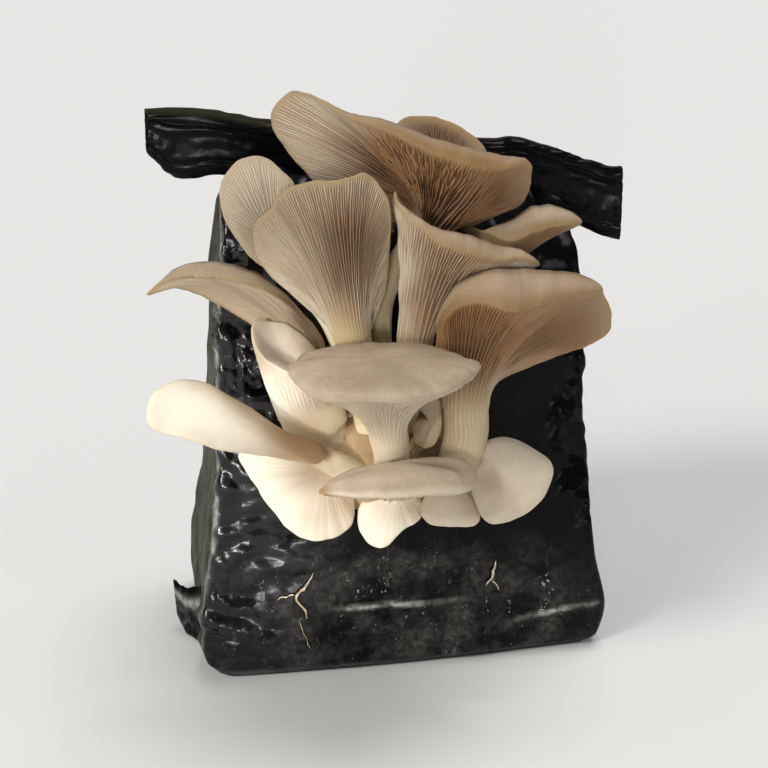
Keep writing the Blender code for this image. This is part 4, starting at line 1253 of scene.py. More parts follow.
def add_stem(shape, name, spec, look, gills):
    """The stem: a tube along its own path, with the ridges of the gills that run down it."""
    path, axis = stem_path(spec)
    length = np.linalg.norm(np.diff(path[:, :3], axis=0), axis=1).sum()
    count = max(8, round(length / STEM_STEP))
    path = curve(path, np.linspace(0, 1, count), closed=False)
    noise = Noise(sorted(MUSHROOMS).index(name) + STEM_SEED)
    angle, ring = circle(STEM_SIDES)
    rows = []
    held = []
    for index, row in enumerate(path):
        before = path[max(index - 1, 0), :3]
        after = path[min(index + 1, count - 1), :3]
        tangent = axis if index == count - 1 else unit(after - before)
        across, other = ring_axes(tangent)
        gap = (1 - index / (count - 1)) * length
        sway = round_stem(noise, ring, gap, STEM_SWAY) * smooth(gap / STEM_SWAY_FROM)
        turned = angle[:, None] + sway[:, None] - gills
        apart = np.abs((turned + math.pi) % (2 * math.pi) - math.pi).min(axis=1)
        ridges = np.exp(-(apart * row[3] / STEM_RIDGE_WIDTH) ** 2)
        ridges *= STEM_RIDGE_LEAST + round_stem(noise, ring, gap, STEM_UNEVEN)
        swell = round_stem(noise.layers, ring, gap, STEM_SWELL, 2) * smooth(gap / STEM_SWELL_FROM)
        flattened = 1 - STEM_FLATTENED * smooth(gap / STEM_RIDGE_FADE)
        depth = GILL_RELIEF * GILL_AT_NECK * look["relief"] * flattened
        radius = row[3] * (1 + swell) + depth * (ridges - GILL_SUNK)
        away = np.outer(ring[:, 0], across) + spec["flat"] * np.outer(ring[:, 1], other)
        rows.append(row[:3] + away * radius[:, None])
        held.append((ridges, depth / GILL_RELIEF, -gap / WAY_DOWN_STEM))
    points = np.concatenate(rows)
    middle = len(points)
    points = np.concatenate([points, [path[0, :3], path[-1, :3]], rows[0], rows[-1]])
    values = {}
    for (value, kept), at_ends in zip(gathered(held, STEM_SIDES), STEM_END_VALUES):
        values[value] = np.concatenate([*kept, np.full(2 + 2 * STEM_SIDES, at_ends)])
    first = fan_faces(STEM_SIDES, middle + 2, middle)[:, ::-1]
    last = fan_faces(STEM_SIDES, middle + 2 + STEM_SIDES, middle + 1)
    shape.add(points, ring_faces(count, STEM_SIDES), np.concatenate([last, first]), **values)


def add_mushroom(name, spec, finish):
    """One mushroom, cap and stem in one mesh, in place of both its solids."""
    look = {**PLAIN_LOOK, **LOOKS.get(name, {})}
    spec = {**PLAIN_CAP, **spec}
    shape = Shape()
    gills = add_cap(shape, name, spec, look)
    add_stem(shape, name, spec, look, gills)
    everywhere = np.concatenate(shape.points)
    # Brown, tan and pale spots: the flesh's own colour, with painted shade in the brown and tan ones and
    # painted light in the pale ones.
    shape.values["brown"] = [blobs(everywhere, look["brown_and_shade_spots"])]
    shape.values["tan"] = [np.clip(look["tan"] + blobs(everywhere, look["tan_and_shade_spots"]), 0, 1)]
    shape.values["pale"] = [np.clip(look["pale"] + blobs(everywhere, look["pale_and_light_spots"]), 0, 1)]
    obj = shape.build("mushroom_" + name, finish)
    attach(obj, "root")
    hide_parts("cap_" + name, "stem_" + name)
    return obj


def monotone(table, wanted):
    """Smooth rows between those of a table, whose first column rises."""
    table = np.asarray(table, float)
    known = table[:, 0]
    step = np.diff(known)[:, None]
    slope = np.diff(table, axis=0) / step
    before, after = slope[:-1], slope[1:]
    same = before * after > 0
    inner = np.where(same, 2 * before * after / np.where(same, before + after, 1), 0)
    tangent = np.vstack([slope[:1], inner, slope[-1:]])
    index = np.clip(np.searchsorted(known, wanted) - 1, 0, len(known) - 2)
    t = ((wanted - known[index]) / step[index, 0])[:, None]
    return (
        (2 * t ** 3 - 3 * t ** 2 + 1) * table[index]
        + (t ** 3 - 2 * t ** 2 + t) * step[index] * tangent[index]
        + (3 * t ** 2 - 2 * t ** 3) * table[index + 1]
        + (t ** 3 - t ** 2) * step[index] * tangent[index + 1]
    )


def bag_ring(level):
    """Points round the bag at one level, with rounded front corners and a pleat down each side."""
    height, left, right, front, back, drop = level
    depth = back - front
    share = np.linspace(0, 1, BAG_COLUMNS_FRONT, endpoint=False)
    parts = [np.stack([left + (right - left) * share, front - BAG_FRONT_BULGE * np.sin(math.pi * share)])]
    side = np.linspace(0, 1, BAG_COLUMNS_SIDE, endpoint=False)
    pleat = BAG_SIDE_PLEAT * np.sin(math.pi * side) ** 2
    parts.append(np.stack([right - BAG_BACK_NARROWING * side ** 2 - pleat, front + depth * side]))
    share = np.linspace(0, 1, BAG_COLUMNS_BACK, endpoint=False)
    ends = (right - BAG_BACK_NARROWING, left + BAG_BACK_NARROWING)
    bulge = BAG_FRONT_BULGE * np.sin(math.pi * share)
    parts.append(np.stack([ends[0] + (ends[1] - ends[0]) * share, back + bulge]))
    parts.append(np.stack([left + BAG_BACK_NARROWING * (1 - side) ** 2 + pleat, back - depth * side]))
    ring = np.concatenate(parts, axis=1).T
    for _ in range(BAG_CORNER_PASSES):
        ring = evened(ring, 1)
    middle = (left + right) / 2
    return np.column_stack([ring, height + drop * (ring[:, 0] - middle) / 100])


def grid_normals(grid):
    """Outward normals of a grid of rings."""
    around = np.roll(grid, -1, axis=1) - np.roll(grid, 1, axis=1)
    upward = np.gradient(grid, axis=0)
    normal = unit(np.cross(around, upward))
    away = grid - grid.mean(axis=(0, 1))
    return normal if np.sum(normal * away) > 0 else -normal


def region(place, across, down, width, height):
    """A soft patch of the photograph, from 0 outside to 1 in the middle."""
    x = (place[:, 0] - across) / width
    y = (place[:, 1] - down) / height
    return np.exp(-(x * x + y * y) ** 2)


def waved(noise, points, fold):
    """Rolling waves of a fold's height and size."""
    height, size = fold
    return height * noise(points / np.array(size))


def creased(noise, points, fold):
    """Sharp folds with smooth flanks, of a fold's height and size."""
    height, size = fold
    return height * (1 - 3 * np.abs(noise(points / np.array(size))))


def facets(noise, points, fold):
    """Straight-edged facets of crumpled film: bent zigzags in several directions, each shown in places."""
    height, size = fold
    total = np.zeros(len(points))
    for way in range(FACET_WAYS):
        angle = math.pi * (way + FACET_TURN) / FACET_WAYS
        facing = np.array([math.cos(angle), FACET_TIP * math.sin(FACET_TIP_STEP * way), math.sin(angle)])
        bend = FACET_BEND * noise(points / (size * FACET_BEND_SIZE) + FACET_BEND_SHIFT * way)
        place = points @ facing / (size * (FACET_FIRST_SIZE + FACET_SIZE_STEP * way)) + bend
        wave = np.abs(2 * (place - np.floor(place)) - 1)
        seed = points / (size * FACET_SHOWN_SIZE) + FACET_SHOWN_SHIFT * way + FACET_SHOWN_FROM
        total += (2 * wave - 1) * smooth(0.5 + FACET_CONTRAST * noise(seed))
    return height * (total / 2)


def near_crease_lines(place, width):
    """How near points are to the creases across the low front, from 0 to 1."""
    total = np.zeros(len(place))
    wander = waved(NOISE_A, place[:, [0, 0, 1]], CREASE_LINE_WANDER)
    for left, down, right, end in CREASE_LINES:
        share = (place[:, 0] - left) / (right - left)
        apart = (place[:, 1] - down - (end - down) * share - wander) / width
        ends = smooth(share * CREASE_LINE_ENDS) * smooth((1 - share) * CREASE_LINE_ENDS)
        total += ends * np.exp(-apart ** 2)
    return np.clip(total, 0, 1)


def corner_crease(points, place, width):
    """How near points are to the pinched crease down the front's left edge, from 0 to 1."""
    heights, places = np.array(LEFT_CREASE).T
    down = place[:, 1]
    across = np.interp(down, heights, places) + waved(NOISE_B, points, LEFT_WANDER)
    shown = past(down, *LEFT_FROM) * past(down, *LEFT_TO) * past(points[:, 1], *FRONT_CREASE)
    broken = smooth(LEFT_SHOWN + waved(NOISE_C, points, LEFT_BREAKS))
    return shown * broken * np.exp(-((place[:, 0] - across) / width) ** 2)


def crumple(points):
    """How far the film stands out of its smooth shape, in mm."""
    place = pixels(points)
    front = past(points[:, 1], *FRONT_FOLDS)
    bend = np.stack([NOISE_A(points / WARP_SIZE + shift) for shift in WARP_SHIFTS], axis=1)
    warped = points + WARP * bend
    height, size = SWELL
    rise = height * NOISE_A.layers(points / size, 2)
    large, small = LEFT_FACETS
    crinkled = front * region(place, *CRINKLED_PATCH)
    rise += crinkled * (facets(NOISE_C, warped, large) + facets(NOISE_B, warped, small))
    large, small = ROLLING_WAVES
    rolling = front * region(place, *ROLLING_PATCH)
    rise += rolling * (waved(NOISE_B, warped, large) + waved(NOISE_C, warped, small))
    large, small = RIGHT_FACETS
    right = front * region(place, *RIGHT_PATCH)
    rise += right * (facets(NOISE_C, warped, large) + facets(NOISE_B, points, small))
    tent = past(points[:, 2], *TENT_FROM)
    rise += tent * (creased(NOISE_B, points, TENT_PLEATS) + facets(NOISE_C, points, TENT_FACETS) - TENT_SUNK)
    rise += front * region(place, *LOW_PATCH) * creased(NOISE_A, points, LOW_CREASES)
    height, width = CREASE_LINE_RISE
    rise += front * height * near_crease_lines(place, width)
    height, width = LEFT_RISE
    rise += height * corner_crease(points, place, width)
    corner = front * region(place, *CORNER_PATCH)
    rise += corner * facets(NOISE_C, warped * np.array(CORNER_STRETCH), CORNER_FACETS)
    for down, slant, width, height in CORNER_FOLDS:
        ridge = (place[:, 1] - down - slant * (place[:, 0] - CORNER_MIDDLE)) / width
        rise += corner * height * np.exp(-ridge ** 2)
    rise += (1 - front) * (creased(NOISE_C, points, SIDE_PLEATS) + facets(NOISE_B, warped, SIDE_FACETS))
    return rise


def add_bag(finish):
    """The film bag: one crumpled sheet, tucked in round the cluster."""
    heights = np.linspace(0, BAG_LEVELS[-1][0], BAG_ROWS)
    grid = np.stack([bag_ring(level) for level in monotone(BAG_LEVELS, heights)])
    rows, columns, _ = grid.shape
    normals = grid_normals(grid).reshape(-1, 3)
    points = grid.reshape(-1, 3)
    calm = smooth(points[:, 2] / CALM_HEIGHT)
    away = opening_share(points)
    tuck = (np.exp(-((away - 1) / TUCK_WIDTH) ** 2) + (away < 1)).clip(0, 1)
    points = points + normals * (crumple(points) * calm * (1 - tuck))[:, None]
    points[:, 1] += TUCK_DEPTH * tuck * (away < TUCK_REACH)
    corner = past(points[:, 0], *CORNER_ACROSS) * past(points[:, 1], *CORNER_DEPTH)
    points[:, 2] += CORNER_LIFT * corner * np.clip(1 - points[:, 2] / CORNER_TOP, 0, 1)
    points[:, 2] = np.maximum(points[:, 2], 0)
    quads = ring_faces(rows, columns)
    centres = points[quads].mean(axis=1)
    quads = quads[opening_share(centres) > 1]
    bottom = points[:columns]
    middle = bottom.mean(axis=0)
    floor_rows = [bottom * share + middle * (1 - share) for share in BAG_FLOOR_SHARES]
    everything = np.concatenate([points, *floor_rows, [middle], [points[-columns:].mean(axis=0)]])
    floor_start = len(points)
    first = ring_faces(2, columns)
    first = np.where(first >= columns, first - columns + floor_start, first)[:, ::-1]
    floor_quads = ring_faces(len(floor_rows), columns, floor_start)[:, ::-1]
    middle_index = floor_start + len(floor_rows) * columns
    under = fan_faces(columns, middle_index - columns, middle_index)[:, ::-1]
    over = fan_faces(columns, floor_start - columns, middle_index + 1)
    shape = Shape()
    faces = np.concatenate([quads, first, floor_quads])
    shape.add(everything, faces, np.concatenate([under, over]), **film_values(everything))
    tree = BVHTree.FromPolygons(everything.tolist(), quads.tolist())
    for cut in CUTS:
        add_cut(shape, tree, *cut)
    add_folds(shape)
    add_ear(shape)
    obj = shape.build("film_bag", finish)
    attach(obj, "root")
    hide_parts("bag")
    return obj


def on_film(tree, pixel):
    """The point of the film, and its normal, that is seen at a pixel of the photograph."""
    start = VIEW_CENTRE + TOWARD * VIEW_DISTANCE
    hit, normal, _, _ = tree.ray_cast(Vector(start), Vector(unit(seen_at(pixel, 0) - start)))
    normal = np.array(normal)
    return np.array(hit), normal * np.sign(normal @ TOWARD)


def add_cut(shape, tree, path, width, lips):
    """A torn cut in the film: cream threads along its middle between curled black lips."""
    path = curve(np.array(path, float), np.linspace(0, 1, CUT_ROWS), closed=False)
    wander, size = CUT_WANDER
    swayed = [NOISE_C(np.column_stack([path / size, [shift] * CUT_ROWS])) for shift in (0.5, 4.5)]
    path += wander * np.stack(swayed, 1)
    middle, normal = (np.array(held) for held in zip(*(on_film(tree, place) for place in path)))
    along = unit(np.gradient(middle, axis=0))
    side = np.cross(along, normal)
    share = np.linspace(0, 1, CUT_ROWS)
    taper = np.sin(math.pi * share) ** 0.5
    uneven, size = CUT_UNEVEN
    uneven = 1 + uneven * NOISE_A(np.column_stack([share * size, share * 0, share * 0 + width]))
    rows = []
    cream = []
    for place, rise, core in CUT_SECTION:
        out = place * width * taper * uneven
        lumps, size = THREAD_LUMPS
        lift = rise * lips * taper if core < 0.5 else rise + lumps * NOISE_B(middle / size + place)
        rows.append(middle + side * out[:, None] + normal * (lift * np.ones(CUT_ROWS))[:, None])
        cream.append(np.full(CUT_ROWS, core) * (taper > THREADS_FROM))
    quads = ring_faces(len(rows), CUT_ROWS, closed=False)[:, [0, 3, 2, 1]]
    shape.add(np.concatenate(rows), quads, cream=np.concatenate(cream), **CUT_VALUES)


def opening_share(points):
    """How far points are from the middle of the opening in the front, with 1 on its edge."""
    across = (points[:, 0] - CLUSTER_CENTRE[0]) / OPENING_RADII[0]
    up = (points[:, 2] - CLUSTER_CENTRE[2]) / OPENING_RADII[1]
    return np.where(points[:, 1] < 0, np.hypot(across, up), OPENING_FAR)


def film_values(points):
    """Where the film is dusty, speckled, crinkled and glossy, with a painted olive sheen and creases of wear
    and painted highlight.
    """
    place = pixels(points)
    across, down = place.T
    front = past(points[:, 1], *FRONT_DUST)
    thinned = 1 - DUST_THINNED * past(across, *DUST_RIGHT)
    dust = front * past(down, *DUST_DOWN) * past(across, *DUST_LEFT) * thinned
    speck = SPECK_STRENGTH * (front * region(place, *SPECKLED_PATCH))
    speck = speck + front * sum(region(place, *band) for band in SPECKLED_BANDS)
    # A painted olive sheen down the left side, behind the front's left edge.
    height, left, _, ahead = np.array(BAG_LEVELS)[:, :4].T
    spread = OLIVE_SPREAD * past(points[:, 1], *OLIVE_SPREAD_FROM)
    inward = points[:, 0] - np.interp(points[:, 2], height, left) - spread
    behind = points[:, 1] - np.interp(points[:, 2], height, ahead)
    crinkle = PLAIN_CRINKLE + MORE_CRINKLE * sum(region(place, *spot) for spot in CRINKLED_SPOTS)
    # The creases carry wear and painted highlights, broken up along them.
    broken = smooth(WEAR_HIGHLIGHT_SHOWN + waved(NOISE_A, points, WEAR_HIGHLIGHT_BREAKS))
    broken = WEAR_HIGHLIGHT_LEAST + (1 - WEAR_HIGHLIGHT_LEAST) * broken
    strength, width = LEFT_WEAR_HIGHLIGHT
    worn = front * near_crease_lines(place, WEAR_HIGHLIGHT_WIDTH) * broken
    return {
        "dust": dust,
        "speck": np.clip(speck, 0, 1),
        "olive": past(inward, *OLIVE_INWARD) * past(behind, *OLIVE_BEHIND),
        "crinkle": np.maximum(np.clip(crinkle, 0, 1) * front, PLAIN_CRINKLE * (1 - front)),
        "cream": 0.0,
        "shine": np.clip(region(place, *SHINING_PATCH), 0, 1),
        "worn": np.maximum(worn, strength * corner_crease(points, place, width)),
    }


def add_folds(shape):
    """The top of the bag, rolled over in layers and sticking out as a wing at each side."""
    table = curve(FOLDED_TOP, np.linspace(0, 1, FOLD_SECTIONS), closed=False)
    _, ring = circle(FOLD_COLUMNS)
    side, up = (np.sign(ring) * np.abs(ring) ** FOLD_SQUARE).T
    swing, size, apart = FOLD_WANDER
    rows = []
    for across, depth, height, half_height, half_thickness in table:
        lines = np.zeros(FOLD_COLUMNS)
        for line, (place, width, strength) in enumerate(FOLD_LINES):
            wander = swing * NOISE_A(np.array([[across / size, line * apart, 0.5]]))[0]
            lines += strength * np.exp(-((up - place - wander) / width) ** 2)
        y = depth + side * half_thickness
        y = y - np.sign(side) * lines * np.minimum(1, np.abs(side) * 2)
        rows.append(np.column_stack([np.full(FOLD_COLUMNS, across), y, height + up * half_height]))
    grid = np.stack(rows)
    normals = grid_normals(grid).reshape(-1, 3)
    points = grid.reshape(-1, 3)
    rise = creased(NOISE_B, points, FOLD_CREASES) + creased(NOISE_C, points, FOLD_WRINKLES)
    rise += waved(NOISE_A, points, FOLD_SWELL)
    grid = (points + normals * rise[:, None]).reshape(grid.shape)
    ends = []
    for row, inward in ((grid[0], 1), (grid[-1], -1)):
        middle = row.mean(axis=0)
        for share, deep in FOLD_ENDS:
            ring = middle + (row - middle) * np.array([1, share, share])
            ring[:, 0] += inward * deep
            ends.append(ring)
    count = len(FOLD_ENDS)
    grid = np.stack([*ends[:count][::-1], *grid, *ends[count:]])
    # A painted olive sheen along the top of the left wing.
    top = np.tile(past(up, *FOLD_OLIVE_UP), len(grid))
    olive = FOLD_OLIVE * top * past(grid[:, :, 0].ravel(), *FOLD_OLIVE_ACROSS)
    shape.add(*capped(grid), olive=np.concatenate([olive, (0, 0)]), crinkle=FOLD_CRINKLE)


def add_ear(shape):
    """The loose corner of film at the lower left: a folded flap that stands out from the bag."""
    sections = []
    for corners in EAR_SECTIONS:
        places = np.linspace(0, 1, EAR_COLUMNS, endpoint=False)
        sections.append(curve(np.array(corners, float), places, closed=True).ravel())
    table = curve(np.array(sections), np.linspace(0, 1, EAR_ROWS), closed=False)
    grid = table.reshape(EAR_ROWS, EAR_COLUMNS, 3)
    normals = grid_normals(grid).reshape(-1, 3)
    points = grid.reshape(-1, 3)
    points = points + normals * creased(NOISE_C, points, EAR_CREASES)[:, None]
    points[:, 2] = np.maximum(points[:, 2], EAR_FLOOR)
    # A line of wear and painted highlight along the corner's edge.
    strength, place, width = EAR_WEAR_HIGHLIGHT
    worn = strength * np.exp(-((np.arange(EAR_COLUMNS) - place * EAR_COLUMNS) / width) ** 2)
    worn = np.concatenate([np.tile(worn, EAR_ROWS), (0, 0)])
    shape.add(*capped(points.reshape(grid.shape)), crinkle=EAR_CRINKLE, worn=worn)


def add_cluster_base(finish):
    """The knobbly tissue behind the opening that all the stems grow from."""
    _, ring = circle(BASE_COLUMNS)
    tilt = np.linspace(BASE_POLE, math.pi - BASE_POLE, BASE_ROWS)[:, None]
    across, deep = ring.T
    grid = [np.sin(tilt) * across, np.sin(tilt) * deep, np.cos(tilt) * np.ones(BASE_COLUMNS)]
    points = np.stack(grid, axis=-1).reshape(-1, 3)
    lumps = BASE_LUMP * NOISE_A.layers(points * CLUSTER_RADII / BASE_LUMP_SIZE, 3)
    points = CLUSTER_CENTRE + points * (CLUSTER_RADII + lumps[:, None])
    across, up = BASE_DENT_PLACE
    away = np.hypot(points[:, 0] - across, points[:, 2] - up) / BASE_DENT_WIDTH
    points -= np.outer(BASE_DENT * np.exp(-away ** 2), (0, 1, 0))
    points[:, 1] = np.minimum(points[:, 1], BASE_BACK)
    shape = Shape()
    shape.add(*capped(points.reshape(BASE_ROWS, BASE_COLUMNS, 3)), **BASE_VALUES)
    obj = shape.build("cluster_tissue", finish)
    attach(obj, "root")
    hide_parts("cluster_base")
    return obj


def linear(colour):
    """A colour as a screen shows it, from 0 to 255, in the renderer's own numbers."""
    values = []
    for value in colour:
        value /= 255
        values.append(value / 12.92 if value <= 0.04045 else ((value + 0.055) / 1.055) ** 2.4)
    return (*values, 1.0)


class Finish:
    """A material built up from nodes."""

    def __init__(self, name):
        self.material = bpy.data.materials.new(name)
        self.material.use_nodes = True
        self.tree = self.material.node_tree
        self.shader = self.tree.nodes["Principled BSDF"]

    def node(self, kind, settings=None, values=(), **inputs):
        """A node with its settings, and its inputs given in order or by name."""
        made = self.tree.nodes.new(kind)
        for key, value in (settings or {}).items():
            setattr(made, key, value)
        for socket, value in zip(made.inputs, values):
            self.fill(socket, value)
        for key, value in inputs.items():
            self.fill(made.inputs[key.replace("_", " ")], value)
        return made

    def fill(self, socket, value):
        """Link an output, or set a value."""
        if isinstance(value, bpy.types.NodeSocket):
            self.tree.links.new(value, socket)
        else:
            socket.default_value = value

    def set(self, **inputs):
        for key, value in inputs.items():
            self.fill(self.shader.inputs[key.replace("_", " ")], value)

    def attributes(self, *names):
        """The numbers held on the mesh under the names."""
        made = [self.node("ShaderNodeAttribute", {"attribute_name": name}) for name in names]
        return [node.outputs["Fac"] for node in made]

    def vectors(self, operation, *values):
        """A vector calculation's node."""
        return self.node("ShaderNodeVectorMath", {"operation": operation}, values)

    def maths(self, operation, *values):
        return self.node("ShaderNodeMath", {"operation": operation}, values).outputs[0]

    def combined(self, operation, first, others):
        for other in others:
            first = self.maths(operation, first, other)
        return first

    def times(self, first, *others):
        return self.combined("MULTIPLY", first, others)

    def plus(self, first, *others):
        return self.combined("ADD", first, others)

    def between(self, value, low, high, start=0.0, end=1.0):
        """The value taken from one range to another, held at the ends."""
        settings = {"clamp": True, "interpolation_type": "SMOOTHSTEP"}
        return self.node("ShaderNodeMapRange", settings, (value, low, high, start, end)).outputs[0]

    def mix(self, share, first, second):
        """A blend of two colours, each an output or a colour as a screen shows it."""
        made = self.node("ShaderNodeMix", {"data_type": "RGBA"})
        self.fill(made.inputs[0], share)
        for place, colour in ((6, first), (7, second)):
            self.fill(made.inputs[place], linear(colour) if isinstance(colour, tuple) else colour)
        return made.outputs[2]

    def places(self):
        return self.node("ShaderNodeTexCoord").outputs["Object"]

    def noise(self, scale, detail=3.0, stretch=None, roughness=0.5):
        places = self.places()
        if stretch is not None:
            places = self.node("ShaderNodeMapping", Vector=places, Scale=stretch).outputs[0]
        settings = {"Vector": places, "Scale": scale, "Detail": detail, "Roughness": roughness}
        return self.node("ShaderNodeTexNoise", **settings).outputs[0]

    def bump(self, height, distance, strength):
        settings = {"Height": height, "Distance": distance, "Strength": strength}
        return self.node("ShaderNodeBump", **settings).outputs[0]


def mushroom_finish():
    """Cream gills over brown valleys, tan skin with an ochre rim and paler stems, with painted shade and
    painted light laid on.
    """
    finish = Finish("mushroom")
    gill, deep, way, side, edge = finish.attributes(*CAP_VALUES)
    # brown and tan carry painted shade, and pale carries painted light, each on top of the flesh's own
    # colour.
    brown, pale, tan = finish.attributes("brown", "pale", "tan")
    mottle = finish.noise(60.0, 4.0)
    fine = finish.noise(420.0, 3.0)
    ridge = finish.mix(brown, *RIDGE_COLOURS)
    # The valleys are darker than the ridges: painted shade between the gills.
    valley = finish.mix(brown, *VALLEY_COLOURS)
    gills = finish.mix(finish.between(gill, 0.0, 0.8), valley, ridge)
    flat = finish.mix(brown, *FLAT_COLOURS)
    under = finish.mix(finish.between(deep, 0.0, 0.5), flat, gills)
    stem = finish.mix(finish.between(mottle, 0.35, 0.7), *STEM_COLOURS)
    # The stem's grooves are darker: painted shade between its ridges.
    grooved = finish.mix(finish.between(gill, 0.0, 0.7), STEM_GROOVE_COLOUR, stem)
    stem = finish.mix(finish.between(deep, 0.0, 0.3), stem, grooved)
    under = finish.mix(finish.between(way, -0.05, 0.3, 1.0, 0.0), under, stem)
    skin = finish.mix(finish.between(mottle, 0.3, 0.72), *SKIN_COLOURS)
    skin = finish.mix(finish.between(fine, 0.4, 0.65, 0.0, 0.2), skin, SKIN_FLECK_COLOUR)
    colour = finish.mix(finish.between(side, 0.05, 0.6), under, skin)
    colour = finish.mix(finish.times(edge, EDGE_SHARE), colour, EDGE_COLOUR)
    # Painted light where the flesh is pale, and painted shade where it is tan.
    colour = finish.mix(finish.times(pale, PALE_AND_LIGHT_SHARE), colour, PALE_AND_LIGHT_COLOUR)
    colour = finish.mix(finish.times(tan, TAN_AND_SHADE_SHARE), colour, TAN_AND_SHADE_COLOUR)
    finish.set(
        Base_Color=colour,
        Roughness=finish.between(fine, 0.3, 0.7, 0.5, 0.68),
        Normal=finish.bump(fine, 0.0002, 0.5),
        Subsurface_Weight=0.15,
        Subsurface_Radius=(1.0, 0.6, 0.35),
        Subsurface_Scale=0.0025,
        Specular_IOR_Level=0.35,
    )
    return finish.material


def film_finish():
    """Glossy black film, crinkled, dusty low on the front, a painted olive sheen at the left, painted crease
    highlights.
    """
    finish = Finish("black film")
    dust, speck, olive, crinkle = finish.attributes("dust", "speck", "olive", "crinkle")
    cream, shine, worn = finish.attributes("cream", "shine", "worn")
    cloud = finish.noise(55.0, 6.0, roughness=0.65)
    fine = finish.noise(300.0, 4.0, roughness=0.6)
    grains = finish.between(fine, 0.35, 0.6, 0.4, 1.0)
    dusty = finish.times(dust, finish.between(cloud, 0.35, 0.75), grains)
    colour = finish.mix(finish.times(dusty, DUST_SHARE), FILM_COLOUR, DUST_COLOUR)
    # A painted olive sheen on the left side and the left wing.
    colour = finish.mix(finish.times(olive, OLIVE_SHEEN_SHARE), colour, OLIVE_SHEEN_COLOUR)
    dots = finish.between(finish.noise(620.0, 2.0), 0.62, 0.68)
    picked = finish.noise(70.0, 4.0, stretch=(2.2, 1.0, 0.7), roughness=0.7)
    dots = finish.times(dots, finish.between(picked, 0.53, 0.66), speck)
    smears = finish.noise(90.0, 5.0, stretch=(1.3, 1.0, 0.7), roughness=0.7)
    smears = finish.times(finish.between(smears, 0.6, 0.72), speck, SMEAR_SHARE)
    # Scuffs with painted highlights along the creases, in the speck colour.
    scuffs_and_highlights = finish.times(worn, finish.between(fine, 0.3, 0.6, 0.2, 0.6))
    marks_and_highlights = finish.combined("MAXIMUM", dots, (smears, scuffs_and_highlights))
    colour = finish.mix(marks_and_highlights, colour, SPECK_AND_HIGHLIGHT_COLOUR)
    threads = finish.mix(finish.between(fine, 0.35, 0.65), *THREAD_COLOURS)
    colour = finish.mix(cream, colour, threads)
    matt = finish.times(finish.maths("MAXIMUM", cream, marks_and_highlights), 0.6)
    rough = finish.between(cloud, 0.3, 0.75, 0.2, 0.32)
    rough = finish.plus(rough, finish.times(dusty, 0.4), finish.times(olive, 0.2), matt)
    places = finish.places()
    bend = finish.node("ShaderNodeTexNoise", Vector=places, Scale=28.0, Detail=3.0).outputs["Color"]
    bent = finish.vectors("MULTIPLY_ADD", bend, (0.03, 0.03, 0.03), places).outputs["Vector"]
    folds = finish.node("ShaderNodeTexVoronoi", Vector=bent, Scale=70.0, Detail=0.0, Randomness=1.0)
    tilt = finish.vectors("SUBTRACT", folds.outputs["Color"], (0.5, 0.5, 0.5)).outputs["Vector"]
    away = finish.vectors("SUBTRACT", bent, folds.outputs["Position"]).outputs["Vector"]
    flats = finish.vectors("DOT_PRODUCT", tilt, away).outputs["Value"]
    waves = finish.noise(75.0, 2.0, stretch=(0.8, 1.0, 1.5))
    height = finish.plus(
        finish.times(flats, crinkle, FLAT_HEIGHT),
        finish.times(waves, shine, WAVE_HEIGHT),
        finish.times(cloud, CLOUD_HEIGHT),
        finish.times(fine, FINE_HEIGHT),
    )
    finish.set(
        Base_Color=colour,
        Roughness=rough,
        Normal=finish.bump(height, 0.004, 0.7),
        Specular_IOR_Level=finish.between(shine, 0.0, 1.0, 0.25, 1.25),
        IOR=finish.between(olive, 0.0, 1.0, 1.3, 1.06),
    )
    return finish.material


def substrate_finish():
    """Packed straw bound by white mycelium."""
    finish = Finish("straw substrate")
    straws = finish.noise(220.0, 4.0, stretch=(1.0, 1.0, 5.0))
    threads = finish.noise(60.0, 5.0)
    colour = finish.mix(finish.between(straws, 0.35, 0.65), *STRAW_COLOURS)
    colour = finish.mix(finish.between(threads, 0.5, 0.7), colour, MYCELIUM_COLOUR)
    finish.set(Base_Color=colour, Roughness=0.85, Normal=finish.bump(straws, 0.0015, 0.7))
    return finish.material


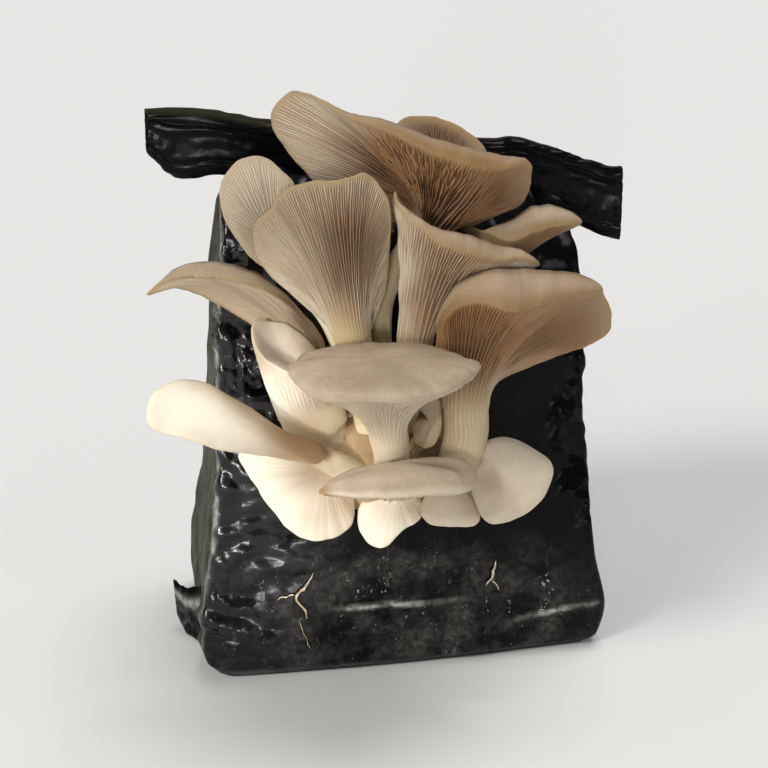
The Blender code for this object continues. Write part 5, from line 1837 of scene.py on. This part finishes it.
def aimed(name, data, place, facing):
    """An object at a place in metres, turned to look along a direction."""
    obj = added(name, data)
    obj.location = place
    obj.rotation_euler = Vector(facing).to_track_quat("-Z", "Y").to_euler()
    return obj


def add_stage():
    """A plain pale floor, soft studio lights and the camera at the photograph's angle."""
    mesh = bpy.data.meshes.new("floor")
    corners = [(-1, -1), (1, -1), (1, 1), (-1, 1)]
    mesh.from_pydata([(FLOOR_HALF * x, FLOOR_HALF * y, 0) for x, y in corners], [], [(0, 1, 2, 3)])
    floor = added("floor", mesh)
    finish = Finish("pale floor")
    finish.set(Base_Color=FLOOR_COLOUR, Roughness=0.9)
    mesh.materials.append(finish.material)
    for name, place, spread, strength, colour in LIGHTS:
        light = bpy.data.lights.new(name, "SUN")
        light.angle = math.radians(spread)
        light.energy = strength
        light.color = colour
        aimed(name, light, place, -np.array(place))
    light = bpy.data.lights.new("low_sun", "SPOT")
    light.energy = SUN_ENERGY
    light.color = SUN_COLOUR
    light.spot_size = SUN_SPREAD
    light.spot_blend = SUN_BLEND
    light.shadow_soft_size = SUN_SIZE
    lit = Vector(seen_at(SUN_PIXEL, SUN_FORWARD) * MM)
    aimed("low_sun", light, SUN_PLACE, lit - Vector(SUN_PLACE))
    world = bpy.data.worlds.new("studio")
    world.use_nodes = True
    background = world.node_tree.nodes["Background"]
    background.inputs["Color"].default_value = (1.0, 1.0, 1.0, 1.0)
    background.inputs["Strength"].default_value = WORLD_LIGHT
    bpy.context.scene.world = world
    bpy.context.scene.view_settings.view_transform = "Standard"
    camera = bpy.data.cameras.new("camera")
    camera.sensor_width = SENSOR
    camera.lens = SENSOR * VIEW_DISTANCE / (2 * PHOTO_MIDDLE * PIXEL)
    place = (VIEW_CENTRE + TOWARD * VIEW_DISTANCE) * MM
    bpy.context.scene.camera = aimed("camera", camera, Vector(place), -TOWARD)


flesh = mushroom_finish()
straw = substrate_finish()
for material_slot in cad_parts["substrate_block"].material_slots:
    material_slot.material = straw
add_bag(film_finish())
add_cluster_base(flesh)
for mushroom, layout in MUSHROOMS.items():
    add_mushroom(mushroom, layout, flesh)
add_stage()
